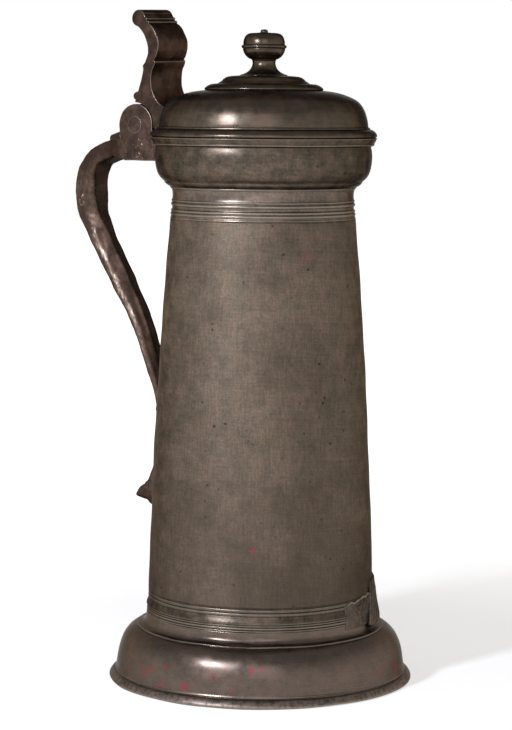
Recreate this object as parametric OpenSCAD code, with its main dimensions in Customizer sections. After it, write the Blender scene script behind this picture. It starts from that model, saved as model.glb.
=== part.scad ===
// Pewter flagon: a tall tapered drum on a domed foot, with a hinged lid, a scroll thumbpiece
// and a strap handle. Origin: centre of the foot's bottom edge. The handle points along -X.

/* [Drum] */
// Height of the drum between its two moulded bands
drum_h = 244.5; // [200:0.5:290]
// Diameter of the drum at its bottom
drum_bottom_d = 148; // [138:1:156]
// Diameter of the drum at its top
drum_top_d = 121; // [112:0.2:130]
// How far the drum's side swells beyond a straight line
drum_bow = 1.9; // [0:0.1:3]
// Wall of the drum and its bands
drum_wall = 2.6; // [1.8:0.1:3.6]

/* [Foot] */
// Diameter of the foot's bottom edge
foot_d = 200; // [190:1:220]
// Height of the foot up to the lower band
foot_h = 43.5; // [38:0.5:52]
// Wall of the foot
foot_wall = 3; // [2:0.1:4]
// Width of the flat bottom edge that the foot stands on
foot_land = 5.5; // [4:0.5:8]
// Width of the ledge inside the foot that carries the base plate
foot_ledge = 5; // [3:0.5:8]
// Thickness of the base plate
base_plate_t = 2.5; // [1.5:0.1:4]

/* [Bands] */
// Height of the lower band, with its ovolo and two beads
lower_band_h = 15; // [12:0.5:20]
// How far the lower band's fillet stands out from the drum
lower_band_out = 1.2; // [0.8:0.1:3]
// Height of the upper band, with its beads and neck
upper_band_h = 20.5; // [16:0.5:26]
// How far the upper band's beads stand out from the drum
upper_band_out = 0.6; // [0.4:0.1:1.6]
// How far the neck above the upper band's beads stands in from the drum
neck_in = 1.3; // [0.8:0.1:1.8]

/* [Collar] */
// Height of the collar from its lower crease to the top of the rim
collar_h = 32; // [26:0.5:40]
// How far the collar swells out beyond the top of the drum
collar_out = 10.4; // [8:0.2:14]
// How far the rim stands out from the collar
rim_out = 2.9; // [2:0.1:4]
// Height of the rim
rim_h = 5.6; // [4:0.1:7]
// Wall of the collar
collar_wall = 3; // [2:0.1:3.6]

/* [Lid] */
// Gap between the rim and the closed lid
lid_gap = 0.3; // [0.2:0.05:0.6]
// Height of the quarter-round flange of the lid
lid_flange_h = 5.3; // [3.5:0.1:6.5]
// How far the lid's dome stands in from the edge of its flange
lid_flange_in = 5.8; // [4.5:0.1:7]
// Height of the lid's dome above its flange
dome_h = 24.8; // [20:0.2:32]
// Wall of the lid
lid_wall = 3; // [2:0.1:3.6]
// Clearance round the bezel inside the mouth
bezel_clear = 1.3; // [1:0.1:1.8]
// Depth of the bezel below the lid
bezel_h = 6; // [4:0.5:8]
// Wall of the bezel
bezel_wall = 1.8; // [1.2:0.1:2.4]

/* [Finial] */
// Diameter of the stepped boss
boss_d = 77; // [66:1:84]
// Height of the stepped boss
boss_h = 9.4; // [7:0.2:13]
// Diameter of the foot of the stem
stem_foot_d = 30; // [26:0.5:36]
// Diameter of the stem's waist
stem_waist_d = 14.6; // [12:0.2:18]
// Height of the stem
stem_h = 10.5; // [8:0.5:14]
// Diameter of the knob round its girdle
knob_d = 29.2; // [24:0.2:34]
// Height of the lower half of the knob
knob_lower_h = 7.8; // [6:0.2:10]
// Height of the upper half of the knob
knob_upper_h = 9.6; // [8:0.2:13]
// Diameter of the rivet that holds the finial
rivet_d = 4.8; // [4:0.1:6]
// Height of the rivet's end above the knob
rivet_nub_h = 2; // [1.2:0.1:3]
// Diameter of the washer inside the lid
washer_d = 16; // [14:0.5:22]
// Thickness of the washer inside the lid
washer_t = 1.2; // [0.8:0.1:2]
// Diameter of the rivet's head inside the lid
rivet_head_d = 10; // [8:0.2:12]
// Thickness of the rivet's head
rivet_head_t = 2.2; // [1.5:0.1:3]

/* [Hinge] */
// Width of the whole hinge
hinge_w = 33; // [28:0.5:40]
// Radius of the rounded lugs round the pin
lug_r = 13.6; // [12.5:0.1:15]
// Width of the knuckle between the lugs
knuckle_w = 13.4; // [10:0.2:16]
// Gap between the knuckle and each lug
knuckle_gap = 0.3; // [0.2:0.05:0.6]
// Gap between the rim and the front of the lugs
lug_standoff = 5; // [3.8:0.1:6]
// Height of the pin's axis above the rim
pin_rise = 7.4; // [6.5:0.1:9]
// Diameter of the hinge pin
pin_d = 6; // [5:0.1:7.5]
// Diameter of the plugs that cover the pin's ends
plug_d = 11; // [9:0.1:13]
// Depth of the plugs
plug_t = 2.5; // [1.5:0.1:4]
// How far the plugs stand proud of the lugs
plug_proud = 0.4; // [0.2:0.1:0.8]
// Depth of the hinge block below the rim
block_drop = 16.5; // [12:0.5:20]
// Length of the block behind the pin's axis
block_back = 23; // [20:0.5:28]
// Width of the block at its back end
block_back_w = 27; // [22:0.5:33]
// Drop from the pin's axis to the back end of the block's shoulder
shoulder_drop = 6.8; // [6:0.1:9]

/* [Thumbpiece] */
// Height of the thumbpiece above the pin's axis
thumb_h = 76.2; // [62:0.2:90]
// Depth of the thumbpiece from its toe on the lid to the pin's axis
thumb_depth = 29; // [24:0.5:36]
// Gap between the thumbpiece and the tops of the lugs
thumb_gap = 1.4; // [1:0.1:2.2]

/* [Handle] */
// How far the handle stands out behind the pin's axis
handle_out = 55.6; // [45:0.2:70]
// Height of the handle's tail above the bottom of the drum
tail_rise = 55; // [40:0.5:80]
// Thickness of the handle at its bend
strap_t = 17; // [13:0.2:20]
// Width of the handle at its upper end
strap_w = 26; // [21:0.5:27]

/* [Repair] */
// Angle that the reeded repair plate covers
plate_angle = 30; // [20:1:40]
// Where the middle of the plate lies, as an angle from the side opposite the handle
plate_turn = 34; // [28:1:60]
// How far the plate reaches up the drum
plate_on_drum = 9; // [6:0.5:20]
// Thickness of the plate at its top
plate_top_t = 0.8; // [0.6:0.1:1.6]
// Thickness of the plate over the lower band
plate_band_t = 0.9; // [0.3:0.1:1.6]
// Height of the reeds on the plate
reed_h = 0.5; // [0.3:0.1:1]
// Number of reeds on the plate
reeds = 9; // [5:1:12]
// Angle that the patch of rough solder covers
solder_angle = 25; // [15:1:26]
// Thickness of the patch of rough solder
solder_t = 0.9; // [0.6:0.1:1.6]

/* [Fits] */
// Radial clearance of the hinge pin in the knuckle
pin_clear = 0.06; // [0.03:0.01:0.1]
// Seam left for solder between curved faces of one body
seam = 0.05; // [0.02:0.01:0.1]

/* [Hidden] */
$fn = 96;

// Overrun of every cut
cut = 1;
// Segments between two points of a smooth outline
smooth_steps = 4;
// Segments up the drum's side
drum_steps = 12;

// Radii and heights of the stack, from the table up
foot_r = foot_d / 2;
drum_r0 = drum_bottom_d / 2;
drum_r1 = drum_top_d / 2;
drum_in0 = drum_r0 - drum_wall;
drum_in1 = drum_r1 - drum_wall;
z_band = foot_h;
z_drum = z_band + lower_band_h;
z_upper = z_drum + drum_h;
z_collar = z_upper + upper_band_h;
z_rim = z_collar + collar_h;
z_lid = z_rim + lid_gap;
z_dome = z_lid + lid_flange_h;
z_boss = z_dome + dome_h;
z_stem = z_boss + boss_h;
z_knob = z_stem + stem_h;
z_girdle = z_knob + knob_lower_h;
z_knob_top = z_girdle + knob_upper_h;
collar_r = drum_r1 + collar_out;
rim_r = collar_r + rim_out;
mouth_r = collar_r - collar_wall;
dome_r = rim_r - lid_flange_in;
boss_r = boss_d / 2;
rivet_r = rivet_d / 2;
bore_r = rivet_r + seam;
bezel_r = mouth_r - bezel_clear;

// The pin's axis, and the sizes that hang on it
pin_x = rim_r + lug_standoff + lug_r;
pin_z = z_rim + pin_rise;
pin_r = pin_d / 2;
knuckle_r = lug_r - knuckle_gap;
pin_l = hinge_w - 2 * (plug_t - plug_proud);
block_x = pin_x + block_back;
block_z = z_rim - block_drop;
shoulder_z = pin_z - shoulder_drop;

// Small sizes of the hinge block: its bevelled back edge and the slope of its shoulder
block_edge = 1.2;
shoulder_rise = 2.2;
shoulder_front_share = 0.9;

// Thickness of the repair plate at its bottom, and the gap in degrees beside the solder
plate_foot_t = 0.3;
solder_gap_angle = 0.7;

// Outlines: each row is a share outwards and a share upwards of the piece's own sizes
foot_flange_shares = [[1, 0], [0.985, 0.035], [0.955, 0.075], [0.905, 0.115], [0.81, 0.155]];
foot_dome_shares = [[0.79, 0.175], [0.775, 0.3], [0.74, 0.44], [0.68, 0.56], [0.59, 0.66],
                    [0.46, 0.745], [0.235, 0.82]];
foot_cove_shares = [[0.23, 0.84], [0.14, 0.86], [0.07, 0.9], [0.02, 0.955], [0, 1]];
lower_fillet_shares = [[0.9, 0], [1, 0.02], [1, 0.08], [0.9, 0.1]];
lower_ovolo_shares = [[0.5, 0.12], [0.72, 0.18], [0.8, 0.28], [0.68, 0.42], [0.36, 0.55]];
lower_bead_shares = [[0, 0], [0.4, 0.3], [0.4, 0.7], [0, 1]];
lower_groove_share = 0.6;
lower_bead_h_share = 0.17;
upper_bead_shares = [[0, 0], [0.7, 0.25], [0.7, 0.75], [0, 1]];
upper_bead_z_shares = [0.02, 0.15, 0.42];
upper_bead_h_share = 0.11;
upper_neck_shares = [[-0.75, 0.55], [-1, 0.7], [-1, 0.83], [-0.45, 0.94], [0.3, 1]];
collar_bowl_shares = [[0.05, 0.005], [0.21, 0.04], [0.41, 0.097], [0.61, 0.17], [0.75, 0.24],
                      [0.885, 0.34], [0.97, 0.5], [0.99, 0.61], [0.965, 0.72], [0.915, 0.81]];
mouth_depth_share = 0.35;
rim_shares = [[-0.1, 0.05], [0.48, 0.3], [0.86, 0.6], [0.99, 0.9]];
flange_shares = [[1, 0], [0.98, 0.11], [0.91, 0.27], [0.72, 0.53], [0.36, 0.86], [0.1, 1]];
dome_shares = [[1, 0.01], [0.998, 0.12], [0.985, 0.28], [0.965, 0.44], [0.93, 0.6],
               [0.88, 0.73], [0.79, 0.845], [0.69, 0.945]];
boss_shares = [[1, 0], [1, 0.12], [0.98, 0.22], [0.94, 0.32], [0.88, 0.41], [0.785, 0.44],
               [0.75, 0.53], [0.71, 0.64], [0.68, 0.77], [0.64, 0.87], [0.59, 0.94], [0.42, 1]];
stem_shares = [[1, 0], [0.97, 0.04], [0.6, 0.14], [0.21, 0.31], [0.06, 0.5], [0, 0.7],
               [0.03, 0.85], [0.1, 1]];
knob_lower_shares = [[0.56, 0], [0.65, 0.06], [0.76, 0.19], [0.84, 0.36], [0.9, 0.56],
                     [0.93, 0.82], [0.985, 0.91], [1, 1]];
knob_upper_shares = [[1, 0], [0.985, 0.1], [0.93, 0.16], [0.925, 0.26], [0.91, 0.42], [0.885, 0.58],
                     [0.84, 0.73], [0.75, 0.86], [0.6, 0.95], [0.29, 0.975], [0.22, 1]];
rivet_head_shares = [[0, 0], [0.7, 0], [1, 0.7], [1, 1]];
rivet_end_shares = [[1, 0], [1, 0.5], [0.7, 0.9], [0, 1]];
solder_shares = [[0, 0], [1, 0.2], [1, 0.55], [0, 0.7]];
solder_top_share = 0.9;

// The thumbpiece from the side: shares of its depth towards the lid's axis and of its height
thumb_front_shares = [[0.115, 0.995], [0.24, 0.967], [0.315, 0.913], [0.375, 0.878],
                      [0.55, 0.815], [0.65, 0.742], [0.67, 0.7], [0.65, 0.645],
                      [0.57, 0.578], [0.495, 0.547], [0.54, 0.517], [0.475, 0.475],
                      [0.445, 0.384], [0.465, 0.323], [0.535, 0.26], [0.655, 0.2],
                      [0.8, 0.164], [1, 0.145]];
thumb_back_shares = [[0.045, 0.87], [0.135, 0.841], [0.293, 0.78], [0.375, 0.69], [0.375, 0.608],
                     [0.295, 0.54], [0.238, 0.51], [0.245, 0.47], [0.205, 0.384], [0.135, 0.295]];
thumb_lip_shares = [[0.03, 0.283], [-0.03, 0.27], [-0.05, 0.247], [-0.04, 0.228], [0.01, 0.208]];
roll_r_share = 0.068;
roll_place_share = [0.093, 0.931];

// The handle's centre line from the hinge block to the tail: shares of its reach behind the
// pin's axis, of its height, of its thickness and of its width
strap_shares = [[0.414, 0, 0.72, 0.96], [0.595, 0.014, 0.68, 0.88], [0.721, 0.028, 0.69, 0.83],
                [0.8, 0.051, 0.765, 0.79], [0.858, 0.078, 0.905, 0.76], [0.874, 0.119, 1, 0.75],
                [0.86, 0.154, 1.01, 0.75], [0.82, 0.192, 0.935, 0.75], [0.755, 0.224, 0.8, 0.75],
                [0.635, 0.278, 0.72, 0.74], [0.408, 0.364, 0.705, 0.74], [0.326, 0.398, 0.65, 0.735],
                [0.16, 0.462, 0.555, 0.73], [0.005, 0.53, 0.525, 0.72], [-0.074, 0.572, 0.53, 0.71],
                [-0.196, 0.642, 0.53, 0.7], [-0.288, 0.711, 0.53, 0.69], [-0.317, 0.766, 0.53, 0.68],
                [-0.315, 0.822, 0.5, 0.67], [-0.295, 0.886, 0.55, 0.66]];
// The tail, in the same shares
tail_shares = [[-0.25, 0.942, 0.74, 0.655], [-0.187, 0.992, 1.12, 0.65], [-0.043, 0.995, 0.7, 0.64],
               [0.04, 0.999, 0.32, 0.62], [0.07, 1, 0.15, 0.6]];
// Section of the strap: shares of its width and of its thickness, from its inner face outwards
section_shares = [[-0.28, 0], [0.28, 0], [0.5, 0.22], [0.5, 0.78], [0.46, 0.9], [0.34, 0.99],
                  [0, 1.03], [-0.34, 0.99], [-0.46, 0.9], [-0.5, 0.78], [-0.5, 0.22]];
// Height of the strap's upper end within the hinge block
strap_top_share = 0.44;

// A point at shares of a size from a base point
function at_share(base, size, share) = [base[0] + size[0] * share[0], base[1] + size[1] * share[1]];

function at_shares(base, size, shares) = [for (share = shares) at_share(base, size, share)];

// One point of the smooth curve between p1 and p2, at t from 0 to 1
function between(p0, p1, p2, p3, t) =
    0.5 * ((2 * p1) + (p2 - p0) * t + (2 * p0 - 5 * p1 + 4 * p2 - p3) * t * t
           + (3 * p1 - p0 - 3 * p2 + p3) * t * t * t);

// A smooth curve through points of any length, with a number of steps between two of them
function smooth(p, steps = smooth_steps) =
    let (last = len(p) - 1)
    [for (i = [0 : last - 1], s = [0 : steps - (i < last - 1 ? 1 : 0)])
        between(p[max(i - 1, 0)], p[i], p[i + 1], p[min(i + 2, last)], s / steps)];

function flip(p) = [for (i = [len(p) - 1 : -1 : 0]) p[i]];

// Outer radius of the drum at a share of its height
function drum_radius(share) = drum_r0 + (drum_r1 - drum_r0) * share + drum_bow * 4 * share * (1 - share);

// Side of the drum from one share of its height to another, moved out by some amount
function drum_side(from, to, out, steps = drum_steps) =
    [for (i = [0 : steps])
        let (share = from + (to - from) * i / steps)
        [drum_radius(share) + out, z_drum + drum_h * share]];

// A half-round moulding of a band
function bead(base, out, h, shares) = smooth(at_shares(base, [out, h], shares), 3);

foot_size = [foot_r - drum_r0 - lower_band_out, foot_h];
foot_base = [drum_r0 + lower_band_out, 0];
foot_side = concat(at_shares(foot_base, foot_size, foot_flange_shares),
                   smooth(at_shares(foot_base, foot_size, foot_dome_shares)),
                   smooth(at_shares(foot_base, foot_size, foot_cove_shares), 3));
lower_size = [lower_band_out, lower_band_h];
lower_base = [drum_r0, z_band];
lower_bead_h = lower_band_h * lower_bead_h_share;
lower_beads_z = z_band + lower_band_h * lower_groove_share;
lower_side = concat(at_shares(lower_base, lower_size, lower_fillet_shares),
                    smooth(at_shares(lower_base, lower_size, lower_ovolo_shares), 3),
                    [for (i = [0 : 1], p = bead([drum_r0, lower_beads_z + i * lower_bead_h],
                                                lower_band_out, lower_bead_h, lower_bead_shares)) p],
                    [[drum_r0, z_drum]]);
upper_bead_h = upper_band_h * upper_bead_h_share;
upper_side = concat([[drum_r1, z_upper]],
                    [for (share = upper_bead_z_shares,
                          p = bead([drum_r1, z_upper + upper_band_h * share], upper_band_out,
                                   upper_bead_h, upper_bead_shares)) p],
                    smooth(at_shares([drum_r1, z_upper], [neck_in, upper_band_h],
                                     upper_neck_shares), 3));
neck_inner_r = drum_in1 - neck_in / 2;
collar_side = concat(smooth(at_shares([drum_r1, z_collar], [collar_out, collar_h],
                                      collar_bowl_shares), 3),
                     smooth(at_shares([collar_r, z_rim - rim_h], [rim_out, rim_h], rim_shares), 3),
                     [[rim_r, z_rim]]);
flange_side = smooth(at_shares([dome_r, z_lid], [rim_r - dome_r, lid_flange_h], flange_shares), 3);
dome_side = smooth(at_shares([0, z_dome], [dome_r, dome_h], dome_shares), 3);

// Solid of revolution from an outline of radius and height
module turned(outline) {
    rotate_extrude() polygon(outline);
}

// Solid that a side outline encloses with the axis, moved out by the seam
module envelope(side, out = seam) {
    last = len(side) - 1;
    turned(concat([[0, side[0][1] - out]],
                  [[side[0][0] + out, side[0][1] - out]],
                  [for (p = side) [p[0] + out, p[1]]],
                  [[side[last][0] + out, side[last][1] + out], [0, side[last][1] + out]]));
}

// Cylinder along Y at a place in the handle's plane
module cross_rod(r, from_y, length, x = pin_x, z = pin_z) {
    translate([-x, from_y, z]) rotate([-90, 0, 0]) cylinder(r = r, h = length);
}

// Outline in the handle's plane, given as distance behind the axis and height
module side_plate(outline, w) {
    translate([0, w / 2, 0]) rotate([90, 0, 0]) linear_extrude(w) mirror([1, 0]) polygon(outline);
}

module foot() {
    inner_flange_r = foot_r - foot_land;
    inner_dome = [for (share = [foot_dome_shares[1], foot_dome_shares[3], foot_dome_shares[5]])
        at_share(foot_base, foot_size, share) - [foot_wall, foot_wall]];
    ledge_r = drum_in0 - foot_ledge;
    color([0.25, 0.21, 0.18])
        turned(concat(foot_side,
                      [[ledge_r, foot_h], [ledge_r, foot_h - foot_wall]],
                      [[foot_base[0], foot_h - foot_wall * 2]],
                      flip(inner_dome),
                      [[inner_flange_r - foot_wall / 2, foot_wall * 2], [inner_flange_r, 0]]));
}

module base_plate() {
    color([0.38, 0.36, 0.33])
        translate([0, 0, foot_h]) cylinder(r = drum_in0 - seam, h = base_plate_t);
}

module lower_band() {
    color([0.36, 0.31, 0.27])
        turned(concat(lower_side, [[drum_in0, z_drum], [drum_in0, z_band]]));
}

module drum() {
    color([0.43, 0.38, 0.34])
        turned(concat(drum_side(0, 1, 0), flip(drum_side(0, 1, -drum_wall))));
}

module upper_band() {
    color([0.36, 0.31, 0.27])
        turned(concat(upper_side, [[neck_inner_r, z_collar], [drum_in1, z_upper]]));
}

module collar() {
    inner_shares = [collar_bowl_shares[2], collar_bowl_shares[4], collar_bowl_shares[6]];
    inner = [for (share = inner_shares)
        at_share([drum_r1, z_collar], [collar_out, collar_h], share) - [collar_wall, -collar_wall / 2]];
    color([0.34, 0.3, 0.26])
        turned(concat(collar_side, [[mouth_r, z_rim], [mouth_r, z_rim - collar_h * mouth_depth_share]],
                      flip(inner), [[neck_inner_r, z_collar]]));
}

module hinge_lugs() {
    lug_foot_x = pin_x - lug_r;
    shoulder_x = pin_x + lug_r * shoulder_front_share;
    side = [[mouth_r, block_z], [block_x, block_z], [block_x, shoulder_z - block_edge],
            [block_x - block_edge, shoulder_z], [shoulder_x, shoulder_z + shoulder_rise],
            [shoulder_x, pin_z], [lug_foot_x, pin_z], [lug_foot_x, z_rim], [mouth_r, z_rim]];
    plan = [[0, hinge_w / 2], [pin_x, hinge_w / 2], [block_x, block_back_w / 2],
            [block_x, -block_back_w / 2], [pin_x, -hinge_w / 2], [0, -hinge_w / 2]];
    slot_w = knuckle_w + 2 * knuckle_gap;
    color([0.33, 0.24, 0.2])
        difference() {
            intersection() {
                union() {
                    side_plate(side, hinge_w);
                    cross_rod(lug_r, -hinge_w / 2, hinge_w);
                }
                translate([0, 0, block_z - cut])
                    linear_extrude(pin_z + lug_r - block_z + 2 * cut) mirror([1, 0]) polygon(plan);
            }
            // Room for the knuckle and its leaf
            cross_rod(lug_r + thumb_gap, -slot_w / 2, slot_w);
            // Holes for the pin and the plugs
            cross_rod(pin_r + seam, -hinge_w, hinge_w * 2);
            cross_rod(plug_d / 2 + seam, pin_l / 2, hinge_w);
            cross_rod(plug_d / 2 + seam, -pin_l / 2 - hinge_w, hinge_w);
            envelope(collar_side);
        }
}

// The handle's strap: one section carried along its centre line
strap_top = [pin_x, block_z + block_drop * strap_top_share];
strap_size = [handle_out, z_drum + tail_rise - strap_top[1]];

module handle_strap() {
    stations = smooth(concat(strap_shares, tail_shares), 2);
    path = at_shares(strap_top, strap_size, stations);
    last = len(path) - 1;
    rings = [for (i = [0 : last])
        let (along = i == 0 ? [1, 0] : path[min(i + 1, last)] - path[i - 1],
             unit = along / norm(along),
             back = [-unit[1], unit[0]],
             t = strap_t * stations[i][2],
             w = strap_w * stations[i][3])
        [for (share = section_shares)
            let (off = (share[1] - 0.5) * t)
            [-path[i][0] - back[0] * off, share[0] * w, path[i][1] + back[1] * off]]];
    sides = len(section_shares);
    points = [for (ring = rings, p = ring) p];
    faces = concat([for (i = [0 : last - 1], k = [0 : sides - 1])
                        let (a = i * sides + k, b = i * sides + (k + 1) % sides)
                        [a, b, b + sides]],
                   [for (i = [0 : last - 1], k = [0 : sides - 1])
                        let (a = i * sides + k, b = i * sides + (k + 1) % sides)
                        [a, b + sides, a + sides]],
                   [[for (k = [sides - 1 : -1 : 0]) k]],
                   [[for (k = [0 : sides - 1]) last * sides + k]]);
    color([0.33, 0.24, 0.2])
        difference() {
            polyhedron(points, faces);
            envelope(drum_side(0, 1, 0));
        }
}

module hinge_pin() {
    color([0.45, 0.43, 0.4]) cross_rod(pin_r, -pin_l / 2, pin_l);
}

module pin_plug_front() {
    color([0.4, 0.33, 0.28]) cross_rod(plug_d / 2, -pin_l / 2 - plug_t, plug_t);
}

module pin_plug_back() {
    color([0.4, 0.33, 0.28]) cross_rod(plug_d / 2, pin_l / 2, plug_t);
}

// A sector of a solid of revolution, turned about the axis to where its middle lies
module sector(outline, angle, middle) {
    rotate([0, 0, middle - angle / 2]) rotate_extrude(angle = angle) polygon(outline);
}

// Surface that the repair lies on, from the foot's edge line up to the drum
plate_top_share = plate_on_drum / drum_h;
band_out_r = drum_r0 + lower_band_out + seam;
plate_foot = at_share(foot_base, foot_size, foot_cove_shares[2]) + [seam, seam];
plate_seat = concat([plate_foot, [band_out_r, z_band]],
                    [[band_out_r, z_band + lower_band_h / 2]],
                    drum_side(plate_top_share / 2, plate_top_share, seam, 2));

module repair_plate() {
    top = plate_seat[len(plate_seat) - 1];
    outer = [top + [plate_top_t, 0], [band_out_r + plate_band_t, z_band + lower_band_h / 2],
             plate_foot + [plate_foot_t, 0]];
    pitch = plate_angle / reeds;
    color([0.35, 0.31, 0.28]) {
        difference() {
            union() {
                sector(concat(plate_seat, outer), plate_angle, plate_turn);
                for (i = [0 : reeds - 1])
                    sector(concat(plate_seat, [for (p = outer) p + [reed_h, 0]]), pitch / 2,
                           plate_turn + (i - (reeds - 1) / 2) * pitch);
            }
            envelope(foot_side);
        }
    }
}

module repair_solder() {
    side = concat(at_shares([band_out_r, z_band], [solder_t, lower_band_h], solder_shares),
                  [[drum_r0 + seam, z_band + lower_band_h * solder_top_share]]);
    color([0.4, 0.36, 0.33])
        difference() {
            sector(concat(side, [[drum_r0, z_band]]), solder_angle,
                   plate_turn - (plate_angle + solder_angle) / 2 - solder_gap_angle);
            envelope(lower_side);
        }
}

module lid_dome() {
    inner = at_shares([0, z_dome], [dome_r - lid_wall, dome_h - lid_wall],
                      [for (i = [1 : 2 : len(dome_shares) - 1]) dome_shares[i]]);
    color([0.27, 0.24, 0.21])
        turned(concat(flange_side, dome_side,
                      [[boss_r, z_boss], [bore_r, z_boss], [bore_r, z_boss - lid_wall]],
                      [[boss_r, z_boss - lid_wall]],
                      flip(inner), [[dome_r - lid_wall, z_lid]]));
}

module lid_bezel() {
    color([0.36, 0.33, 0.3])
        turned([[bezel_r, z_lid - bezel_h], [bezel_r, z_lid], [bezel_r - bezel_wall, z_lid],
                [bezel_r - bezel_wall, z_lid - bezel_h]]);
}

// Turned piece of the finial, bored for the rivet
module bored(side) {
    last = len(side) - 1;
    turned(concat(side, [[bore_r, side[last][1]], [bore_r, side[0][1]]]));
}

module lid_boss() {
    color([0.28, 0.25, 0.21]) bored(at_shares([0, z_boss], [boss_r, boss_h], boss_shares));
}

module finial_stem() {
    waist_r = stem_waist_d / 2;
    color([0.3, 0.26, 0.22])
        bored(smooth(at_shares([waist_r, z_stem], [stem_foot_d / 2 - waist_r, stem_h],
                               stem_shares), 3));
}

module knob_lower() {
    color([0.28, 0.24, 0.21])
        bored(smooth(at_shares([0, z_knob], [knob_d / 2, knob_lower_h], knob_lower_shares), 2));
}

module knob_upper() {
    color([0.3, 0.26, 0.23])
        bored(smooth(at_shares([0, z_girdle], [knob_d / 2, knob_upper_h], knob_upper_shares), 2));
}

module finial_rivet() {
    z_head = z_boss - lid_wall - washer_t;
    color([0.35, 0.32, 0.3])
        turned(concat(at_shares([0, z_head - rivet_head_t], [rivet_head_d / 2, rivet_head_t],
                                rivet_head_shares),
                      [[rivet_r, z_head]],
                      at_shares([0, z_knob_top], [rivet_r, rivet_nub_h], rivet_end_shares)));
}

module rivet_washer() {
    color([0.4, 0.38, 0.35])
        difference() {
            translate([0, 0, z_boss - lid_wall - washer_t]) cylinder(d = washer_d, h = washer_t);
            translate([0, 0, z_boss - lid_wall - washer_t - cut])
                cylinder(r = bore_r, h = washer_t + 2 * cut);
        }
}

module thumbpiece() {
    base = [pin_x, pin_z];
    size = [-thumb_depth, thumb_h];
    roll = at_share(base, size, roll_place_share);
    outline = concat(smooth(at_shares(base, size, thumb_front_shares), 3),
                     [[dome_r - lid_wall, z_dome], [pin_x, z_dome], base],
                     at_shares(base, size, flip(thumb_lip_shares)),
                     flip(smooth(at_shares(base, size, thumb_back_shares), 3)));
    color([0.22, 0.17, 0.15])
        difference() {
            union() {
                side_plate(outline, hinge_w);
                cross_rod(thumb_h * roll_r_share, -hinge_w / 2, hinge_w, roll[0], roll[1]);
                cross_rod(knuckle_r, -knuckle_w / 2, knuckle_w);
            }
            // Room for the two lugs
            cross_rod(lug_r + thumb_gap, knuckle_w / 2, hinge_w);
            cross_rod(lug_r + thumb_gap, -knuckle_w / 2 - hinge_w, hinge_w);
            cross_rod(pin_r + pin_clear, -hinge_w, hinge_w * 2);
            envelope(concat(flange_side, dome_side, [[boss_r, z_boss]]));
        }
}

foot();
base_plate();
lower_band();
drum();
upper_band();
collar();
hinge_lugs();
handle_strap();
hinge_pin();
pin_plug_front();
pin_plug_back();
repair_plate();
repair_solder();
lid_dome();
lid_bezel();
lid_boss();
finial_stem();
knob_lower();
knob_upper();
finial_rivet();
rivet_washer();
thumbpiece();
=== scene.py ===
import math

import bmesh
import bpy
import numpy as np
from mathutils import Matrix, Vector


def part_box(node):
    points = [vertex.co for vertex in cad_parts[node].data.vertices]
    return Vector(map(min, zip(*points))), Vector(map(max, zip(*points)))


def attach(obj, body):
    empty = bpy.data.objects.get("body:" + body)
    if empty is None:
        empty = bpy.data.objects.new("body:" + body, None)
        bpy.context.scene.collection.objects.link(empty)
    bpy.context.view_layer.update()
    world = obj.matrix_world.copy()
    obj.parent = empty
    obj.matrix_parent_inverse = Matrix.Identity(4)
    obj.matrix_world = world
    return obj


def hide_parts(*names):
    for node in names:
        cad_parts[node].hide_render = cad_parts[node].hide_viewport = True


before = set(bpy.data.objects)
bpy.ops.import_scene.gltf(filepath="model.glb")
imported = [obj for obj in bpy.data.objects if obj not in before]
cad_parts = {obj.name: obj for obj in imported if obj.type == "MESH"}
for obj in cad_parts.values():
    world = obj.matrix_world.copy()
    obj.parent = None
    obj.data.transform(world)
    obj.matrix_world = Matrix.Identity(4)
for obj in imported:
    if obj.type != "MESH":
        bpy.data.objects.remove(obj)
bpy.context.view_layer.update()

bl_info = {
    "name": "Pewter Flagon",
    "version": (1, 0, 0),
    "blender": (4, 5, 0),
    "location": "3D View > Sidebar > Flagon",
    "description": "Builds a worn pewter flagon with a hinged lid round its solid model",
    "category": "Add Mesh",
}

MM = 0.001
METRE = 1 / MM


def corners(node):
    """Lowest and highest corner of a solid of the frame, in millimetres."""
    low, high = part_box(node)
    return np.array(low) / MM, np.array(high) / MM


def linear(code):
    """A colour written as sRGB hex, as linear red, green and blue."""
    parts = [int(code[i:i + 2], 16) / 255 for i in (1, 3, 5)]
    return tuple(c / 12.92 if c <= 0.04045 else ((c + 0.055) / 1.055) ** 2.4 for c in parts)


# Heights in millimetres, from the frame, at which turned pieces start and at which two end
Z_BAND, Z_DRUM, Z_UPPER, Z_COLLAR, Z_LID, Z_BOSS, Z_STEM, Z_KNOB, Z_GIRDLE, Z_RIVET = (
    corners(node)[0][2] for node in (
        "lower_band", "drum", "upper_band", "collar", "lid_dome", "lid_boss", "finial_stem",
        "knob_lower", "knob_upper", "finial_rivet"))
Z_RIM, Z_KNOB_TOP = (corners(node)[1][2] for node in ("collar", "knob_upper"))

# The pin's place behind the vessel's axis, and the outer faces of the hinge
PIN_LOW, PIN_HIGH = corners("hinge_pin")
PIN_X = -(PIN_LOW[0] + PIN_HIGH[0]) / 2
PIN_Z = (PIN_LOW[2] + PIN_HIGH[2]) / 2
LUG_LOW, LUG_HIGH = corners("hinge_lugs")
HINGE_W = LUG_HIGH[1] - LUG_LOW[1]
BLOCK_X = -LUG_LOW[0]
BLOCK_Z = LUG_LOW[2]

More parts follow.
